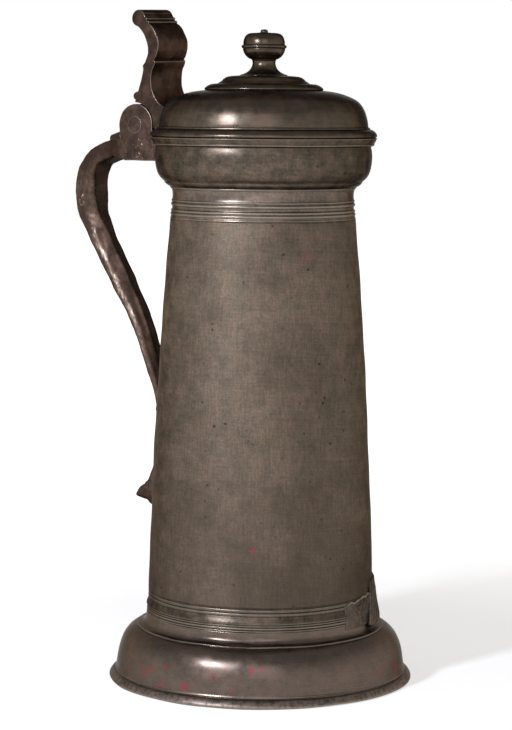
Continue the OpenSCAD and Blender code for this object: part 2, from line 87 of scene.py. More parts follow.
# Sizes that the solids share with this script, in millimetres
FOOT_R = 100.0
DRUM_R0 = 74.0      # at its bottom
DRUM_R1 = 60.5      # at its top
DRUM_SWELL = 1.9    # outwards in the middle
WALL = 2.6
RIM_R = 73.8
DOME_R = 68.0
BOSS_R = 38.5
BORE_R = 2.45       # for the rivet's shank
SHANK_R = 2.4
KNOB_R = 14.6
LUG_R = 13.7
KNUCKLE_W = 13.4
SLOT_R = 15.0       # hollow of the block round the knuckle
THUMB_DEPTH = 29.0
THUMB_H = 76.2
HANDLE_OUT = 55.6   # from the pin to the back of the bend
TAIL_UP = 55.0      # tail's end above the drum's bottom
STRAP_T = 17.0
STRAP_W = 26.0

# Crust of solder on the block's sides: its middle's place and half its size, behind the axis and up
CRUST_PLACE = (PIN_X - 4.5, BLOCK_Z + 8)
CRUST_SIZE = (11.5, 7.3)

# A knot on the strap's near side and a nub on its back: the middle, and the reach along each axis
KNOT = (-PIN_X - 51, -9, 312), (4, 5, 5)
NUB = (0, -5, 172), (math.inf, 4, 1.8)

# The repair: its straight edge's distance from the axis, the turn of the face on which that edge is
# upright, the mean radius of its reeds and their pitch, and the angles at which both patches end
PLATE_X = 72.2
PLATE_TURN = 56
REEDS_R = 76
REED_PITCH = 3
PLATE_END = 49
SOLDER_END = -9

# Points round a turned piece
ROUND = 360

# The stage, in metres and degrees: the floor and how its glow grows with the distance, each lamp's
# size, place and colour and where it aims, and the lens in millimetres with the camera's turns
FLOOR_R, FLOOR_Z, FLOOR_SIDES = 6.0, -0.0003, 96
FLOOR_GLOW = (0.25, 1.0, 0.56, 1.0)
KEY = (0.12, (-0.125, -1.19, 0.8), "#E6EDFF")
FILL = (0.9, (1.1, -1.5, 1.0), "#F6F2FF")
AIM = (0, 0, 0.22)
LENS, TURN, DOWN, ROLL = 123.3, 0.137, 5.984, 0.38

# Colours that no setting holds: a warmer patina, the darkening towards the drum's bottom, the
# painted shade and the edge tint; and the metal's share
WARMER = "#6E5648"
LOWER_DARK = "#463C34"
SHADED = "#2E211A"
EDGE_TINT = "#8C8882"
METALLIC = 0.93

# Flecks of old paint: angle in degrees, radius, height and size in millimetres, and strength
FOOT_MARKS = ((-96.2, 93.5, 20.4, 2.6, 0.75), (-97.7, 95, 8.8, 3.4, 0.6),
              (-86, 95, 10.2, 3.8, 0.75), (-59.4, 92.5, 23.1, 2.8, 0.75),
              (-74.4, 94, 18.8, 4.0, 0.3), (-66, 95, 10.5, 2.4, 0.4),
              (-107.7, 94.5, 14.2, 5.0, 0.35), (-103, 94, 17.4, 4.0, 0.3),
              (-55, 91.5, 25, 2.4, 0.5), (12, 94.8, 12.6, 4.5, 0.5), (-1, 94.6, 14.2, 3.0, 0.35),
              (28, 95, 10, 5, 0.4), (-83, 98, 3.6, 2.4, 0.5), (80, 94, 16, 4, 0.5),
              (150, 94.5, 12, 5, 0.5))
DRUM_MARKS = ((-59.7, 72.5, 96.6, 2.2, 0.8), (-29, 64, 281, 7.0, 0.16), (-38, 70, 160, 2.0, 0.2))

# Rise of the thumbpiece from its near side to its far one, as the caster left it
TWIST = 0.03


class FlagonFinish(bpy.types.PropertyGroup):
    """Colours and gloss of the old pewter."""
    # Bare metal on edges; it also paints highlights on the handle's worn band, the repair's lip and
    # its reeds
    bare_and_highlight: bpy.props.FloatVectorProperty(
        name="Bare", description="Pewter rubbed bare on edges", subtype="COLOR",
        default=linear("#A39888"))
    # Dirt in grooves and pits; it also paints shade on the handle's inner face, the block's
    # underside and the reeds' grooves
    dirt_and_shade: bpy.props.FloatVectorProperty(
        name="Dirt", description="Dark dirt in grooves and pits", subtype="COLOR",
        default=linear("#231D19"))
    rubbed: bpy.props.FloatVectorProperty(
        name="Rubbed", description="Flange of the foot where hands and cloths rub it",
        subtype="COLOR", default=linear("#84766B"))
    paint: bpy.props.FloatVectorProperty(
        name="Paint", description="Flecks of old red paint on the foot", subtype="COLOR",
        default=linear("#8E3A45"))
    gloss: bpy.props.FloatProperty(
        name="Roughness", description="Roughness of the rubbed metal", default=0.36,
        min=0.1, max=1.0)


class FlagonShape(bpy.types.PropertyGroup):
    """How uneven the old metal is."""
    dents: bpy.props.FloatProperty(
        name="Dents", description="Depth of the broad dents in the drum", default=0.00022,
        unit="LENGTH", min=0.0, max=0.001)
    lumps: bpy.props.FloatProperty(
        name="Solder lumps", description="Height of the lumps of the rough solder", default=0.0009,
        unit="LENGTH", min=0.0, max=0.002)


class FlagonStage(bpy.types.PropertyGroup):
    """Place of the camera and power of the lamps."""
    distance: bpy.props.FloatProperty(
        name="Distance", description="Camera to the flagon's axis", default=1.633, unit="LENGTH")
    height: bpy.props.FloatProperty(
        name="Height", description="Camera above the floor", default=0.3777, unit="LENGTH")
    azimuth: bpy.props.FloatProperty(
        name="Azimuth", description="Camera's turn about the flagon", default=math.radians(34),
        subtype="ANGLE")
    key_power: bpy.props.FloatProperty(
        name="Key", description="Power of the key lamp in watts", default=13.5, min=0.0)
    fill_power: bpy.props.FloatProperty(
        name="Fill", description="Power of the soft fill lamp in watts", default=4.5, min=0.0)


# Numpy surfaces

def smooth(points, steps=6):
    """Catmull-Rom curve through the rows of points, with some steps from each to the next."""
    p = np.asarray(points, float)
    ends = np.vstack([p[:1], p, p[-1:]])
    t = np.linspace(0, 1, steps, endpoint=False)[None, :, None]
    a, b, c, d = (ends[i:len(p) - 1 + i, None, :] for i in range(4))
    curve = 0.5 * (2 * b + (c - a) * t + (2 * a - 5 * b + 4 * c - d) * t ** 2
                   + (3 * b - a - 3 * c + d) * t ** 3)
    return np.vstack([curve.reshape(-1, p.shape[1]), p[-1:]])


def bead(out, z, half, proud=0.8):
    """Half-round bead from its bottom up: out + half * proud * cos, z + half * sin."""
    t = np.linspace(-math.pi / 2, math.pi / 2, 9)
    return np.column_stack([out + half * proud * np.cos(t), z + half * np.sin(t)])


def arc(centre, radius, start, end, steps=24):
    """Arc in a plane between two angles in degrees."""
    t = np.radians(np.linspace(start, end, steps))
    return np.column_stack([centre[0] + radius * np.cos(t), centre[1] + radius * np.sin(t)])


def even(points, spacing):
    """The same line with extra points, so that none is further than the spacing from the next."""
    p = np.asarray(points, float)
    gaps = np.linalg.norm(np.diff(p, axis=0), axis=1)
    counts = np.maximum(1, np.ceil(gaps / spacing)).astype(int)
    ends = np.concatenate([[0], np.cumsum(counts)])
    return np.column_stack([np.interp(np.arange(ends[-1] + 1), ends, p[:, k])
                            for k in range(p.shape[1])])


def unit(values):
    """The values held between 0 and 1."""
    return np.clip(values, 0, 1)


def about_axis(radius, angle, z):
    """Points at a radius, an angle and a height: (r cos a, r sin a, z)."""
    return np.stack([radius * np.cos(angle), radius * np.sin(angle), z], axis=-1)


def near(points, place, reach):
    """About 1 near a place, and fading to 0 beyond the reach along each axis."""
    return np.exp(-(((points - np.array(place)) / reach) ** 2).sum(axis=1))


def ripples(points, size, seed, waves=14, level=3.7):
    """Smooth noise: a sum of plane waves in seeded directions, of wavelengths round the size.

    The level brings the sum of so many waves to about 1 at its peaks.
    """
    rng = np.random.default_rng(seed)
    ways = rng.normal(size=(waves, 3))
    ways /= np.linalg.norm(ways, axis=1)[:, None]
    ways *= 2 * math.pi / (size * rng.uniform(0.6, 1.6, (waves, 1)))
    phases = rng.uniform(0, 2 * math.pi, waves)
    return sum(np.sin(points @ way + phase) for way, phase in zip(ways, phases)) / level


def skin(grid, around=True, along=False):
    """Mesh of a grid of points: rows by columns, joined where a direction closes on itself.

    Each point's relief is its curvature at about a millimetre: towards 1 on sharp edges and -1 in
    grooves.
    """
    rows, cols = grid.shape[:2]
    index = np.arange(rows * cols).reshape(rows, cols)
    if around:
        index = np.hstack([index, index[:, :1]])
    if along:
        index = np.vstack([index, index[:1]])
    quads = np.stack([index[:-1, :-1], index[:-1, 1:], index[1:, 1:], index[1:, :-1]], axis=-1)
    bend = np.zeros((rows, cols, 3))
    for axis, closed in ((0, along), (1, around)):
        ahead = np.roll(grid, -1, axis) - grid
        behind = np.roll(grid, 1, axis) - grid
        if not closed:
            ends = [slice(None)] * 2
            ends[axis] = [0, -1]
            ahead[tuple(ends)] = 0
            behind[tuple(ends)] = 0
        fore, aft = (np.linalg.norm(way, axis=2, keepdims=True) + 1e-6 for way in (ahead, behind))
        bend += (ahead / fore + behind / aft) * 2 / np.maximum(fore + aft, 0.5)
    for axis in (0, 1):
        bend = (np.roll(bend, 1, axis) + 2 * bend + np.roll(bend, -1, axis)) / 4
    return grid.reshape(-1, 3), quads.reshape(-1, 4), bend.reshape(-1, 3)


def normals(points, quads):
    """Area-weighted normals of the points of a mesh of quads."""
    a, b, c, d = (points[quads[:, k]] for k in range(4))
    face = np.cross(c - a, d - b)
    total = np.zeros_like(points)
    for k in range(4):
        np.add.at(total, quads[:, k], face)
    return total / (np.linalg.norm(total, axis=1)[:, None] + 1e-12)


def closed(part, caps=()):
    """One closed shell: points, quads and caps, turned so that its volume is positive."""
    points, quads, bend = part
    a, b, c, d = (points[quads[:, k]] for k in range(4))
    volume = np.einsum("ij,ij->", a, np.cross(b, c)) + np.einsum("ij,ij->", a, np.cross(c, d))
    for cap in caps:
        ring = points[list(cap)]
        volume += np.einsum("ij,ij->", np.broadcast_to(ring[0], ring[1:-1].shape),
                            np.cross(ring[1:-1], ring[2:]))
    if volume < 0:
        quads = quads[:, ::-1]
        caps = [list(cap)[::-1] for cap in caps]
    way = normals(points, quads)
    relief_and_light = np.clip(-np.einsum("ij,ij->i", bend, way), -1, 1)
    return {"points": points, "quads": quads, "caps": [list(c) for c in caps], "way": way,
            "relief_and_light": relief_and_light}


def capped(grid):
    """Closed tube of rings of points, with a cap on its first ring and on its last."""
    rows, n = grid.shape[:2]
    return closed(skin(grid), [range(n)[::-1], range((rows - 1) * n, rows * n)])


def turned(outline, uneven=0.0, size=38.0, seed=3, ring=False, spacing=1.2):
    """Surface of revolution about Z: (r cos a, r sin a, z) for each point of an outline.

    A ring's outline closes on itself, and any other starts and ends on the axis. The surface then
    moves along its normals by smooth noise.
    """
    line = even(outline, spacing)
    if ring:
        line = line[:-1] if np.allclose(line[0], line[-1]) else line
    a = np.linspace(0, 2 * math.pi, ROUND, endpoint=False)
    grid = about_axis(line[:, :1], a, np.broadcast_to(line[:, 1:], (len(line), ROUND)))
    return roughened(closed(skin(grid, True, ring)), uneven, size, seed)


def roughened(shell, height, size, seed):
    """The shell with each point moved along its normal by smooth noise of a height and size."""
    if height:
        shift = ripples(shell["points"], size, seed) * height
        shell["points"] = shell["points"] + shell["way"] * shift[:, None]
    return shell


def plate(outline, width, edge=0.9, taper=None, middle=0.0):
    """Slab across the hinge: an outline of distance behind the axis and height, carried along Y.

    Its edges are rounded: the first and last rows shrink the outline along its own normals by a
    quarter circle. taper gives the share of the width at a distance behind the axis.
    """
    line = np.asarray(outline, float)
    if np.allclose(line[0], line[-1]):
        line = line[:-1]
    ahead = np.roll(line, -1, 0) - np.roll(line, 1, 0)
    inwards = np.column_stack([-ahead[:, 1], ahead[:, 0]])
    inwards /= np.linalg.norm(inwards, axis=1)[:, None] + 1e-9
    turn = np.radians(np.array([0, 18, 36, 54, 72, 90]))
    shrink = np.concatenate([edge * (1 - np.sin(turn)), [0], edge * (1 - np.sin(turn[::-1]))])
    y = np.concatenate([-width / 2 + edge * (1 - np.cos(turn)), [0],
                        width / 2 - edge * (1 - np.cos(turn[::-1]))])
    flat = line[None] + inwards[None] * shrink[:, None, None]
    across = np.broadcast_to(y[:, None], flat.shape[:2])
    if taper is not None:
        across = across * np.interp(flat[..., 0], *taper)
    return capped(np.stack([-flat[..., 0], across + middle, flat[..., 1]], axis=-1))


def swept(path, sizes, section):
    """A section carried along a path in the handle's plane, sized at each of its points.

    sizes holds thicknesses and widths. Each point has its own section: shares of the width and of
    the thickness from the inner face.
    """
    along = np.gradient(path, axis=0)
    along /= np.linalg.norm(along, axis=1)[:, None]
    back = np.column_stack([-along[:, 1], along[:, 0]])
    off = (section[..., 1] - 0.5) * sizes[:, :1]
    rho = path[:, :1] + back[:, :1] * off
    z = path[:, 1:] + back[:, 1:] * off
    return capped(np.stack([-rho, section[..., 0] * sizes[:, 1:], z], axis=-1))


def crust(top, bottom):
    """Closed sheet between two grids of points, joined round its rim."""
    rows, cols = top.shape[:2]
    ring = np.stack([top, bottom])
    points = ring.reshape(-1, 3)
    index = np.arange(rows * cols).reshape(rows, cols)

    def faces(i):
        return np.stack([i[:-1, :-1], i[:-1, 1:], i[1:, 1:], i[1:, :-1]], axis=-1).reshape(-1, 4)

    rim = np.concatenate([index[0], index[1:, -1], index[-1, -2::-1], index[-2:0:-1, 0]])
    after = np.roll(rim, -1)
    side = np.column_stack([rim, rim + rows * cols, after + rows * cols, after])
    quads = np.vstack([faces(index), faces(index + rows * cols)[:, ::-1], side])
    bend = np.vstack([skin(top, False, False)[2] * 0.35, np.zeros((rows * cols, 3))])
    return closed((points, quads, bend))


def moved(shell, place):
    """The shell with its points, in millimetres, turned or moved by a function."""
    points = place(shell["points"])
    whole = closed((points, shell["quads"], np.zeros_like(points)), shell["caps"])
    whole["relief_and_light"] = shell["relief_and_light"]
    return whole


def finish(name, shells, body, material, nodes=(), weld=False):
    """Writes closed shells to one object in metres, ties it to its body and hides the solids it
    stands for.
    """
    start = np.cumsum([0] + [len(s["points"]) for s in shells])
    points = np.vstack([s["points"] for s in shells]) * MM
    faces = []
    for shell, first in zip(shells, start):
        faces += (shell["quads"] + first).tolist()
        faces += [[i + int(first) for i in cap] for cap in shell["caps"]]
    mesh = bpy.data.meshes.new(name)
    mesh.from_pydata(points.tolist(), [], faces)
    # Each point's relief: curvature for dirt and bare edges, plus painted highlights and painted
    # shade that some pieces add
    relief_and_light = mesh.attributes.new("relief_and_light", "FLOAT", "POINT")
    values = np.concatenate([s["relief_and_light"] for s in shells])
    relief_and_light.data.foreach_set("value", values.astype(np.float32))
    if weld:
        build = bmesh.new()
        build.from_mesh(mesh)
        bmesh.ops.remove_doubles(build, verts=build.verts, dist=1e-7)
        build.to_mesh(mesh)
        build.free()
    mesh.shade_smooth()
    mesh.materials.append(material)
    piece = bpy.data.objects.new(name, mesh)
    bpy.context.collection.objects.link(piece)
    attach(piece, body)
    if nodes:
        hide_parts(*nodes)
    return piece


# Materials

def add(tree, kind, inputs=None, **settings):
    """Adds a node with its settings and inputs: a socket is linked, any other value is set."""
    new = tree.nodes.new(kind)
    for key, value in settings.items():
        setattr(new, key, value)
    for key, value in (inputs or {}).items():
        if isinstance(value, bpy.types.NodeSocket):
            tree.links.new(value, new.inputs[key])
        else:
            new.inputs[key].default_value = value
    return new


def per_mm(size):
    """Scale of a pattern on Object coordinates whose grain has a size in millimetres."""
    return 1 / (size * MM)


def calc(tree, operation, a, b=0.0, clamp=False):
    """Result of one sum of two values or sockets."""
    new = add(tree, "ShaderNodeMath", {0: a, 1: b}, operation=operation, use_clamp=clamp)
    return new.outputs[0]


def span(tree, value, low, high, start=0.0, end=1.0):
    """Value carried from one range to another, held at its ends."""
    return add(tree, "ShaderNodeMapRange", {0: value, 1: low, 2: high, 3: start, 4: end}).outputs[0]


def vector(tree, operation, a, b=(0.0, 0.0, 0.0)):
    """Result of one sum of two vectors or sockets. A length or distance comes out as a value."""
    new = add(tree, "ShaderNodeVectorMath", {0: a, "Scale" if operation == "SCALE" else 1: b},
              operation=operation)
    return new.outputs["Value" if operation in ("LENGTH", "DISTANCE") else 0]


def stretched(tree, here, sizes):
    """Coordinates in which a grain of 1 has three sizes in millimetres."""
    return vector(tree, "MULTIPLY", here, tuple(per_mm(size) for size in sizes))


def noise(tree, here, size, detail, rough=0.5, out="Fac"):
    """Noise whose grain has a size in millimetres, or one for each axis."""
    if isinstance(size, tuple):
        here, size = stretched(tree, here, size), METRE
    inputs = {"Vector": here, "Scale": per_mm(size), "Detail": detail, "Roughness": rough}
    return add(tree, "ShaderNodeTexNoise", inputs).outputs[out]


def grooves_and_shade(tree, relief_and_light, amount):
    """An amount in the deepest grooves and on faces given painted shade, and nothing on level
    metal.
    """
    return span(tree, relief_and_light, -0.3, -0.9, 0.0, amount)


def blend(tree, share, a, b):
    """Colour mixed from two by a share."""
    mix = add(tree, "ShaderNodeMix", data_type="RGBA")
    for key, value in ((0, share), (6, a), (7, b)):
        if isinstance(value, bpy.types.NodeSocket):
            tree.links.new(value, mix.inputs[key])
        elif isinstance(value, float):
            mix.inputs[key].default_value = value
        else:
            mix.inputs[key].default_value = (*value, 1.0)
    return mix.outputs[2]


def principled(name):
    """A new material with its tree and its shader."""
    material = bpy.data.materials.new(name)
    material.use_nodes = True
    return material, material.node_tree, material.node_tree.nodes["Principled BSDF"]


def flecks(tree, here, marks):
    """Share of old paint that is left: ragged spots, rubbed through in upright strokes."""
    torn = vector(tree, "SUBTRACT", noise(tree, here, 5, 4.0, 0.7, "Color"), (0.5, 0.5, 0.5))
    torn = vector(tree, "ADD", here, vector(tree, "SCALE", torn, 9 * MM))
    share = 0.0
    for turn, radius, up, size, strength in marks:
        spot = tuple(about_axis(radius, math.radians(turn), up) * MM)
        away = vector(tree, "DISTANCE", torn, spot)
        one = span(tree, away, size * 0.3 * MM, size * 1.1 * MM, strength, 0.0)
        share = calc(tree, "MAXIMUM", one, share)
    worn = noise(tree, here, (1.6, 1.6, 5), 4.0)
    return calc(tree, "MULTIPLY", share, span(tree, worn, 0.36, 0.54, 0.4, 1.2))


def pewter(name, colour, contrast, rough, lathe, spots, brushed=0.0, bump=1.0, worn_below=0.0,
           darker_below=0.0, painted_shade=None, bare_and_highlight=0.35, edge=EDGE_TINT, marks=()):
    """Old turned pewter: a grey-brown patina with faint clouds, grain and lathe lines, dirt in its
    grooves and pits, metal rubbed barer on its edges, and a soft shine that fades at low angles.

    contrast, lathe, spots, brushed and bump are the strengths of the clouds, the lathe lines, the
    pits, the upright strokes and the relief; the strength of the bare edges also sets that of the
    painted highlights that some pieces add to their relief. Up to worn_below the metal is rubbed
    rough. The metal darkens towards the drum's bottom, fading out up to the height given for that
    darkening. The painted shade argument holds the heights between which painted shade darkens the
    metal, the height at which that ends, and its share; faces that some pieces mark in their relief
    get painted shade too.
    Heights are in millimetres.
    """
    f = bpy.context.scene.flagon_finish
    material, tree, shader = principled(name)
    here = add(tree, "ShaderNodeTexCoord").outputs["Object"]
    relief_and_light = add(tree, "ShaderNodeAttribute", attribute_name="relief_and_light").outputs["Fac"]

    # Clouds 45 mm across, mottling of 9 mm and grain of 1.3 mm
    clouds = noise(tree, here, 45, 2.0)
    mottle = noise(tree, here, 9, 6.0, 0.62)
    grain = noise(tree, here, 1.3, 2.0, 0.6)

    # Lathe lines 0.9 mm apart, and brushed strokes 1 mm wide and 12 mm long along the height
    x, y, z = add(tree, "ShaderNodeSeparateXYZ", {0: here}).outputs
    flat = add(tree, "ShaderNodeCombineXYZ", {0: x, 1: y}).outputs[0]
    rings = add(tree, "ShaderNodeCombineXYZ", {
        i: calc(tree, "MULTIPLY", value, per_mm(0.9))
        for i, value in enumerate((vector(tree, "LENGTH", flat), z))}).outputs[0]
    rings = vector(tree, "ADD", rings, stretched(tree, here, (14, 14, METRE)))
    turning = noise(tree, rings, METRE, 3.0, 0.6)
    strokes = noise(tree, here, (1, 1, 12), 3.0)

    # Ragged pits a millimetre across, gathered in patches
    ragged = vector(tree, "SCALE", noise(tree, here, 2, 2.0, out="Color"), 2.4 * MM)
    ragged = vector(tree, "ADD", here, ragged)
    cells = add(tree, "ShaderNodeTexVoronoi", {"Vector": ragged, "Scale": per_mm(8)})
    pits = calc(tree, "MULTIPLY", span(tree, cells.outputs["Distance"], 0.03, 0.17, 1.0, 0.0),
                span(tree, noise(tree, here, 14, 3.0), 0.45, 0.66, 0.0, spots))

    # Each layer darkens or lightens the colour by a share
    shade = 1.0
    for layer, share in ((clouds, 0.3 * contrast), (mottle, 0.42 * contrast),
                         (grain, 0.3 * contrast), (turning, 0.22 * lathe),
                         (strokes, 0.22 * brushed)):
        shade = calc(tree, "MULTIPLY", shade, span(tree, layer, 0.3, 0.7, 1 - share, 1 + share))
    tint = blend(tree, span(tree, mottle, 0.4, 0.6), linear(colour), linear(WARMER))
    tint = blend(tree, 0.22, linear(colour), tint)

    # Coats over it, each with its share, the lowest first
    coats = []
    # The metal darkens towards the drum's bottom, fading out upwards
    if darker_below:
        low_darkening = calc(tree, "ADD", z, span(tree, clouds, 0.3, 0.7, -0.02, 0.02))
        low_darkening = span(tree, low_darkening, (Z_DRUM - 5) * MM, darker_below * MM, 0.45, 0.0)
        coats.append((low_darkening, linear(LOWER_DARK)))
    # Painted shade between two heights, in the colour of the shade
    if painted_shade:
        low, high, end, share = painted_shade
        shade_share = calc(tree, "MULTIPLY", span(tree, z, low * MM, high * MM, 0.0, share),
                    span(tree, z, end * MM, (end + 0.5) * MM, 1.0, 0.0))
        coats.append((shade_share, linear(SHADED)))
    if worn_below:
        rubbed = span(tree, z, worn_below * MM, (worn_below - 1) * MM)
        rough = calc(tree, "ADD", rough, calc(tree, "MULTIPLY", rubbed, 0.1))
        speck = span(tree, noise(tree, here, 2.6, 4.0, 0.7), 0.46, 0.62, 0.0, 0.6)
        for share, coat in ((span(tree, mottle, 0.35, 0.55, 0.4, 0.9), f.rubbed), (speck, f.dirt_and_shade)):
            coats.append((calc(tree, "MULTIPLY", rubbed, share), coat))
    coats.append((pits, f.dirt_and_shade))
    if marks:
        coats.append((flecks(tree, here, marks), f.paint))
    coats += [(grooves_and_shade(tree, relief_and_light, 0.75), f.dirt_and_shade),
              (span(tree, relief_and_light, 0.5, 1.0, 0.0, bare_and_highlight), f.bare_and_highlight)]
    colour = vector(tree, "SCALE", tint, shade)
    for share, coat in coats:
        colour = blend(tree, share, colour, coat)
    tree.links.new(colour, shader.inputs["Base Color"])

    gloss = calc(tree, "ADD", rough, span(tree, mottle, 0.35, 0.65, -0.05, 0.07))
    gloss = calc(tree, "ADD", gloss, calc(tree, "MULTIPLY", pits, 0.4))
    gloss = calc(tree, "ADD", gloss, grooves_and_shade(tree, relief_and_light, 0.3), True)
    tree.links.new(gloss, shader.inputs["Roughness"])
    shader.inputs["Metallic"].default_value = METALLIC
    shader.inputs["Specular Tint"].default_value = (*linear(edge), 1)

    # Depths of the bumps in millimetres at full strength
    normal = None
    for height, depth in ((mottle, 0.1 * bump), (grain, 0.03 * bump), (turning, 0.03 * lathe),
                          (strokes, 0.03 * brushed), (pits, -0.12)):
        inputs = {"Height": height, "Distance": abs(depth) * MM, "Strength": 1.0}
        if normal is not None:
            inputs["Normal"] = normal
        normal = add(tree, "ShaderNodeBump", inputs, invert=depth < 0).outputs[0]
    tree.links.new(normal, shader.inputs["Normal"])
    return material


# Colour, contrast, roughness beside the set one, lathe lines and pits of each finish, and its rest
FINISHES = {
    "pewter_drum": ("#61574B", 0.55, 0.18, 0.45, 0.9,
                    {"brushed": 0.55, "darker_below": 150, "marks": DRUM_MARKS}),
    "pewter_neck": ("#695F56", 0.75, -0.03, 0.4, 0.9, {"brushed": 0.3, "bump": 0.5}),
    "pewter_collar": ("#4B443B", 0.7, 0.0, 0.6, 1.0, {"brushed": 0.4, "bump": 0.6}),
    "pewter_lid": ("#51493F", 0.25, -0.07, 0.5, 0.2, {"bump": 0.35, "edge": "#767068"}),
    "pewter_knob": ("#4A4238", 0.2, -0.09, 0.15, 0.0, {"bump": 0.1, "edge": "#767068"}),
    # The foot's upper dome, up to its edge line, is darkened with painted shade
    "pewter_foot": ("#60554D", 0.3, -0.06, 0.4, 0.5, {
        "bump": 0.35, "worn_below": 5.5, "painted_shade": (20, 32, 34.8, 0.1), "edge": "#A6A29E",
        "marks": FOOT_MARKS}),
    # The handle's top, by the hinge block, is darkened with painted shade
    "pewter_handle": ("#43372F", 0.6, 0.0, 0.0, 0.8, {
        "brushed": 0.3, "painted_shade": (BLOCK_Z - 16, BLOCK_Z + 6, Z_RIM, 0.5), "bare_and_highlight": 0.42}),
    "pewter_hinge": ("#423630", 0.6, 0.0, 0.0, 0.8, {"brushed": 0.3, "bare_and_highlight": 0.5}),
    "pewter_thumb": ("#382D27", 0.4, -0.04, 0.0, 0.3, {"bump": 0.6, "bare_and_highlight": 0.22}),
    "solder_rough": ("#575049", 0.7, 0.1, 0.0, 0.8, {"brushed": 0.6, "bare_and_highlight": 0.6}),
}


def finishes():
    """The finishes of the flagon by name, made once."""
    gloss = bpy.context.scene.flagon_finish.gloss
    for name, (colour, contrast, rough, lathe, spots, rest) in FINISHES.items():
        if name not in bpy.data.materials:
            pewter(name, colour, contrast, gloss + rough, lathe, spots, **rest)
    return bpy.data.materials


# Profiles of the turned pieces, in millimetres: out from a named radius and up from a seam

def drum_radius(share):
    """Outer radius of the drum at a share of its height: a straight taper with a slight swell."""
    return DRUM_R0 + (DRUM_R1 - DRUM_R0) * share + DRUM_SWELL * 4 * share * (1 - share)


def lines(base, *runs):
    """Profile runs joined and moved to a base radius and height."""
    return np.vstack([np.asarray(run, float) for run in runs]) + np.asarray(base, float)


def foot_profile():
    """Flange with a worn edge, convex dome, sharp edge line, cove up to the band, hollow inside."""
    flange = smooth([(-2.2, 0), (-0.9, 0.05), (-0.25, 0.45), (0, 1.1), (-0.3, 2.0), (-0.95, 3.0),
                     (-1.9, 4.1), (-3, 4.9), (-3.8, 5.2)], 3)
    crease = [(-4.3, 5.4), (-4.45, 5.7), (-4.2, 6.05), (-4.05, 6.3), (-4.2, 6.6)]
    dome = smooth([(-4.55, 7.2), (-4.95, 9.5), (-5.4, 13.3), (-6.3, 18.6), (-8, 24.2),
                   (-10.4, 28.7), (-13.4, 32.0), (-16.4, 34), (-18.6, 34.8)], 6)
    edge = [(-18.9, 34.85), (-18.6, 35.2), (-18.8, 35.7), (-19.4, 35.8)]
    cove = smooth([(-20, 35.9), (-22.1, 36.5), (-23.7, 37.9), (-24.5, 40), (-24.8, 43.5)], 4)
    inner = smooth([(-35, 43.5), (-36, 40.4), (-25, 37.4), (-15, 31.5), (-10.2, 24), (-8.3, 12),
                    (-7, 6), (-5.6, 0.2)], 4)
    return lines((FOOT_R, 0), flange, crease, dome, edge, cove, inner, [(-5, 0), (-2.2, 0)])


def lower_band_profile():
    """Two beads, a broad ovolo, a fillet, a torus and a lower fillet, from the bottom up."""
    lower = [(0.8, 0), (1.0, 0.1), (1.1, 0.6), (1.0, 1.0), (0.75, 1.15)]
    fillet = [(0.6, 3.2), (0.9, 3.5), (1.0, 4), (0.9, 4.4), (0.75, 4.6)]
    inner = [(-0.4, 14.7), (0, 15), (-WALL, 15), (-WALL, 0), (0.8, 0)]
    ovolo = smooth([(1.0, 4.75), (1.3, 5.1), (1.35, 5.6), (1.1, 6.5), (0.65, 7.6), (0.25, 8.6),
                    (-0.1, 9.75)], 3)
    return lines((DRUM_R0, Z_BAND), lower, bead(0.5, 2.25, 0.85, 0.7), fillet, ovolo,
                 bead(-0.4, 11.0, 1.05, 0.55), bead(-0.45, 13.4, 1.1, 0.5), inner)


def upper_band_profile():
    """Groups of fine beads and a hollow neck, from the bottom up."""
    neck = smooth([(-1.1, 12.3), (-1.35, 13.5), (-1.4, 15.5), (-1.2, 17.5), (-0.75, 18.9),
                   (-0.5, 19.25)], 4)
    top = [(-0.35, 19.3), (-0.1, 19.6), (0, 20), (0.4, 20.5)]
    beads = [bead(-0.5, 3.0, 0.8, 0.5), [(-0.7, 4.1)], bead(-0.7, 5.2, 0.7, 0.5),
             [(-1.05, 6.1), (-1.25, 6.6), (-1.25, 7.6), (-1.05, 8.2)], bead(-0.9, 9.3, 0.85, 0.55),
             [(-1.0, 10.4), (-1.05, 10.9)], bead(-1.0, 11.6, 0.5, 0.6)]
    return lines((DRUM_R1, Z_UPPER),
                 [(0, 0), (-0.05, 0.3), (-0.05, 0.7), (-0.35, 1.0), (-0.45, 1.9)], *beads, neck,
                 top, [(-3.3, 20.5), (-2.6, 0), (0, 0)])


def collar_profile():
    """Bowl with a fine ridge at its base, an undercut rim with a lip line and fine turned lines."""
    base = [(0.5, 0.15), (1.6, 0.75), (2.8, 1.6), (3.4, 2.2), (3.85, 2.7), (3.9, 3.1), (4.15, 3.55)]
    bowl = smooth([(4.6, 4), (5.4, 4.75), (6.5, 5.8), (7.8, 7.6), (8.7, 9.6), (9.4, 12), (9.95, 15),
                   (10.25, 18.5), (10.25, 21.2), (10, 23.6), (9.55, 25.7)], 5)
    lip = [(9.55, 26.2), (9.75, 26.5), (10.6, 26.8), (11.35, 27.15), (11.6, 27.5), (11.58, 27.9),
           (11.5, 28.1)]
    rim = smooth([(11.6, 28.4), (12.1, 29.2), (12.5, 30), (12.85, 30.8), (13.15, 31.3),
                  (13.2, 31.6), (13, 31.9), (12.6, 32)], 3)
    inside = smooth([(7.6, 32), (7.4, 31.6), (7.4, 21), (6.6, 15), (4.8, 9), (1.3, 4.6),
                     (-3.2, 0)], 4)
    return lines((DRUM_R1, Z_COLLAR), base, bowl, lip, rim, inside)


